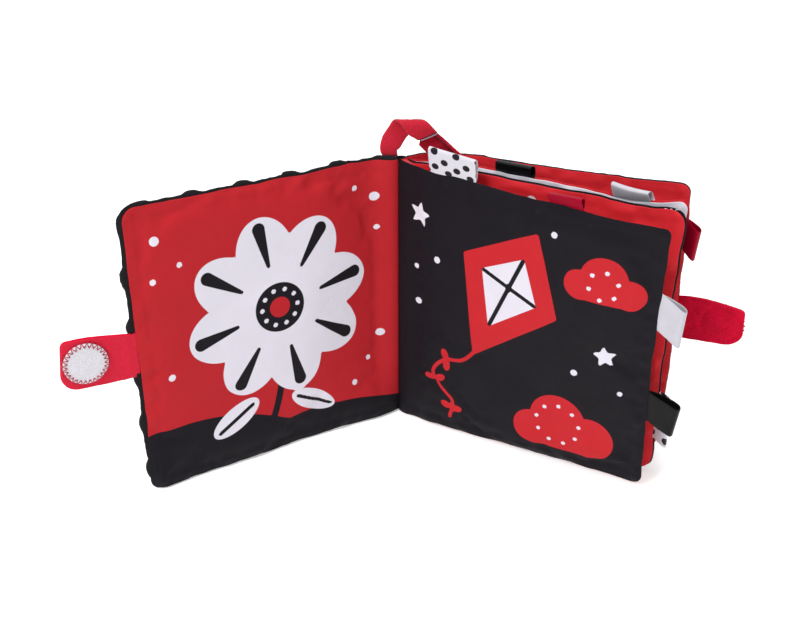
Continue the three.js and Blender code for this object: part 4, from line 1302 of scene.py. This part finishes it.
# ------------------------------------------------------------------ hanging loop
LOOP_T, LOOP_W, LOOP_RISE, LOOP_SPAN, LOOP_BEND = 0.9, 11.5, 18.4, 19.5, 2.6
LOOP_X, LOOP_Y, LOOP_LEAN, LOOP_DROP = -6.0, 0.6, 2.2, 4.8
PATCH_T, PATCH_W, PATCH_L, PATCH_SHOW = 0.8, 9.4, 4.0, 1.35
ANCHOR_W, ANCHOR_U = 11.5, 20.6
END_CUT = 0.44
FOLD_Z = PAGE_H + LOOP_RISE - LOOP_BEND
RISE_RUN = FOLD_Z - PAGE_H - TAB_GAP
BEND_RUN = math.pi * LOOP_BEND
HANG_TOP_Y = LOOP_Y + LOOP_LEAN
HANG_FRONT_Y = HANG_TOP_Y - 2 * LOOP_BEND
HANG_SHARES = [
    [(0.03, 0), (0.0, 0.22), (0.09, 0.47), (0.24, 0.76), (0.38, 1)],
    [(0.49, 0.25), (0.57, 0.5), (0.64, 0.75), (0.72, 1)],
    [(0.82, 0.36), (1, 1)],
]


def hang_path():
    runs = ((0, RISE_RUN), (RISE_RUN, BEND_RUN), (RISE_RUN + BEND_RUN, LOOP_DROP))
    return np.array([(LOOP_X + x * LOOP_SPAN, run + s * length)
                     for shares, (run, length) in zip(HANG_SHARES, runs) for x, s in shares])


def folded(flat_x, run, off):
    """Place in space of a point of the hanging strap's flat pattern."""
    angle = np.clip((run - RISE_RUN) / LOOP_BEND, 0, math.pi)
    r = LOOP_BEND + off
    stage = [run <= RISE_RUN, run < RISE_RUN + BEND_RUN]
    y = np.select(stage, [LOOP_Y + LOOP_LEAN * ease(run / RISE_RUN) + off,
                          HANG_TOP_Y - LOOP_BEND + r * np.cos(angle)], HANG_FRONT_Y - off)
    z = np.select(stage, [PAGE_H + TAB_GAP + run, FOLD_Z + r * np.sin(angle)],
                  FOLD_Z - (run - RISE_RUN - BEND_RUN))
    return np.stack([flat_x, y, z], -1)


def strip_pad(name, line, across, width, thick, place, mats, seed, widths=None, rough=0.1):
    """A strap of cloth along a flat line, with rolled sides; place(flat points, off)."""
    count = len(line)
    run = run_along(line)
    shares = np.array([0, 0.015, 0.05, 0.12, 0.25, 0.4, 0.6, 0.75, 0.88, 0.95, 0.985, 1])
    side_t = np.array([0, 0.55, 0.9, 1, 1, 1, 1, 1, 1, 0.9, 0.55, 0])
    end_t = np.interp(run, [0, 0.25, 0.7, run[-1] - 0.7, run[-1] - 0.25, run[-1]],
                      [0.4, 0.8, 1, 1, 0.8, 0.25])
    waist = np.ones(count) if widths is None else np.interp(run / run[-1], *widths)
    grids = np.zeros((2, count, len(shares), 3))
    for grid, side in zip(grids, (1, -1)):
        for s, share in enumerate(shares):
            flat = line + across * ((share - 0.5) * width * waist)[:, None]
            wob = rough * noise2(run / 1.4, np.full(count, share * width / 1.4), seed + side)
            off = side * (thick / 2 * side_t[s] * end_t + wob * side_t[s] * end_t)
            grid[:, s] = place(flat, off)
    middle = (grids[0] + grids[1]) / 2
    for grid in grids:
        grid[0], grid[-1] = middle[0], middle[-1]
        grid[:, 0], grid[:, -1] = middle[:, 0], middle[:, -1]
    uv = strip_uv(run, shares * width)
    return pad_mesh(name, middle.shape[:2], join(*grids), join(uv, uv), mats), run


def hanging_strap():
    """The long strap that rises, folds over and comes down to the patches."""
    path = curl(hang_path(), 9)
    t = np.linspace(0, 1, len(path))
    along = unit(np.gradient(path, axis=0))
    across = np.stack([along[:, 1], -along[:, 0]], -1)
    root = ease(t / 0.12)[:, None]
    across = unit(np.array([1.0, 0]) * (1 - root) + across * root)
    cut = END_CUT * ease((t - 0.80) / 0.20)
    across = across * np.cos(cut)[:, None] + along * np.sin(cut)[:, None]
    path[0, 1] -= 1.0
    strap, run = strip_pad("hanging_strap_cloth", path, across, LOOP_W, LOOP_T + 0.3,
                           lambda p, off: folded(p[:, 0], p[:, 1], off), [strap_fleece], 501,
                           widths=([0, 0.1, 0.22, 0.38, 0.5, 0.85, 1],
                                   [0.66, 0.74, 0.92, 0.9, 1, 0.97, 0.92]))
    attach(strap, "hanging_strap")
    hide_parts("hanging_strap")


def hanging_patches(end, lead):
    """The hook and the loop patch at the strap's end; gives the anchor strap's depth."""
    edge = (np.array([lead[1], -lead[0]]) * math.cos(END_CUT) + lead * math.sin(END_CUT))
    hook_y = HANG_FRONT_Y + LOOP_T / 2 + LAYER_GAP
    loop_y = hook_y + PATCH_T + LAYER_GAP
    for name, node, y, body, tape in (
        ("hanging_hook_patch_tape", "hanging_hook_patch", hook_y, "hanging_strap", hook_tape),
        ("anchor_loop_patch_tape", "anchor_loop_patch", loop_y, "anchor_strap", loop_tape),
    ):
        def place(u, v, off, y=y):
            flat = end + np.multiply.outer(PATCH_SHOW - v, lead) + np.multiply.outer(
                u - PATCH_W / 2, edge)
            at = folded(flat[..., 0], flat[..., 1], 0 * u)
            at[..., 1] = y + PATCH_T / 2 - off
            return at
        patch = flat_pad(name, PATCH_W, PATCH_L + 1.0, 0.8, place, (0.52, 0.42), [tape],
                         (1.2,) * 4)
        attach(patch, body)
        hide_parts(node)
    return loop_y + PATCH_T + LAYER_GAP + LOOP_T / 2


def anchor_strap(end, lead, depth):
    """The short strap that comes up from the back cover to the patches, and its stitches."""
    x, _, z = folded(end[:1], end[1:], np.zeros(1))[0]
    down = np.array([lead[0], 0, -lead[1]])
    side = np.array([lead[1], 0, lead[0]])
    tip = np.array([x - 3.1, depth, z + 0.5])
    lap = np.array([x, depth, z]) + down * 7.8 - side * 1.9
    leaf = LEAVES["back_cover"]
    root_x, root_y = plan(leaf, ANCHOR_U, 1.0)
    h = heading(leaf, ANCHOR_U, 1.0)
    foot = np.array([float(root_x), float(root_y), PAGE_H + TAB_GAP])
    foot_side = 1.5 * np.array([math.cos(h), math.sin(h), 0])
    tip_side = 1.08 * np.array([0.2, 0, 0.98])
    line = curl([foot - UP, foot, foot + (lap - foot) * 0.5, lap, lap + (tip - lap) * 0.5, tip], 7)
    sides = curl([foot_side, foot_side, 0.45 * foot_side + 0.55 * side, side,
                  0.5 * (side + tip_side), tip_side], 7)
    normal = unit(np.cross(np.gradient(line, axis=0), sides))
    anchor, run = strip_pad("anchor_strap_cloth", line, sides, ANCHOR_W, LOOP_T + 0.3,
                            lambda p, off: p + normal * off[:, None], [anchor_fleece], 521)
    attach(anchor, "anchor_strap")
    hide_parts("anchor_strap")

    # The stitches that hold the loop patch show as a zigzag along the anchor's upper edge
    at = np.linspace(0.16, 0.80, 31) * (len(line) - 1)
    low = at.astype(int)
    part = (at - low)[:, None]
    mix = lambda values: values[low] * (1 - part) + values[low + 1] * part
    zigzag = np.where(np.arange(31) % 2, 0.5, -0.5)[:, None]
    seam = mix(line) + mix(sides) * (ANCHOR_W / 2 - 1.9 + zigzag) - mix(normal) * 0.78
    stitches = thread_line("anchor_stitches", seam, 0.22, dark_thread)
    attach(stitches, "anchor_strap")


def stray_threads():
    """Short ends of white thread that stand out of leaf 2's head."""
    for k, (u, length) in enumerate(((134.8, 1.2), (137.4, 0.8), (139.8, 1.3)), 1):
        foot, normal, tangent = leaf_frame(LEAVES["leaf_2"], np.array(u), np.array(PAGE_H))
        line = [foot - UP * 0.5 + normal * 0.25, foot + UP * 0.3 + normal * 0.2,
                foot + UP * 0.45 + tangent * 0.5 * length + normal * 0.1,
                foot + UP * 0.3 + tangent * length - normal * 0.1]
        thread = thread_line(f"leaf_2_thread_end_{k}", curl(line, 4), 0.14, white_thread)
        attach(thread, "leaf_2")


hanging_strap()
strap_end = hang_path()[-1]
strap_lead = unit(strap_end - hang_path()[-2])
anchor_strap(strap_end, strap_lead, hanging_patches(strap_end, strap_lead))
stray_threads()

# ------------------------------------------------------------------ stage and light
FLOOR_HALF, FLOOR_Z = 3.0, -0.0004
floor_mesh = bpy.data.meshes.new("floor")
floor_mesh.from_pydata([(x * FLOOR_HALF, y * FLOOR_HALF, FLOOR_Z)
                        for x, y in ((-1, -1), (1, -1), (1, 1), (-1, 1))], [], [(0, 1, 2, 3)])
floor = bpy.data.objects.new("floor", floor_mesh)
bpy.context.scene.collection.objects.link(floor)
pale = Shader("pale_floor")
floor_mesh.materials.append(pale.surface(
    Base_Color=pale.mix(pale.noise(3, 1), (0.90, 0.90, 0.90), (0.93, 0.93, 0.93)),
    Roughness=0.9, Specular_IOR_Level=0.0, Emission_Strength=0.32, Emission_Color=(1, 1, 1)))

for name, place, target_z, size, power in (
    ("key", (-0.80, -0.70, 1.30), 0.07, 0.6, 15.0),
    ("fill", (1.15, -0.45, 0.9), 0.07, 0.8, 2.6),
    ("rim", (0.1, 1.25, 1.15), 0.08, 0.9, 6),
    ("top", (0.15, -0.25, 1.7), 0.07, 0.7, 8.2),
):
    lamp = bpy.data.lights.new(name, "AREA")
    lamp.shape, lamp.size, lamp.energy = "DISK", size, power
    light = bpy.data.objects.new(name, lamp)
    light.location = place
    aim = Vector((0, 0, target_z)) - Vector(place)
    light.rotation_euler = aim.to_track_quat("-Z", "Y").to_euler()
    bpy.context.scene.collection.objects.link(light)
world = bpy.data.worlds.new("studio")
world.use_nodes = True
world.node_tree.nodes["Background"].inputs["Color"].default_value = (1, 1, 1, 1)
world.node_tree.nodes["Background"].inputs["Strength"].default_value = 0.48
bpy.context.scene.world = world
bpy.context.scene.view_settings.view_transform = "Standard"
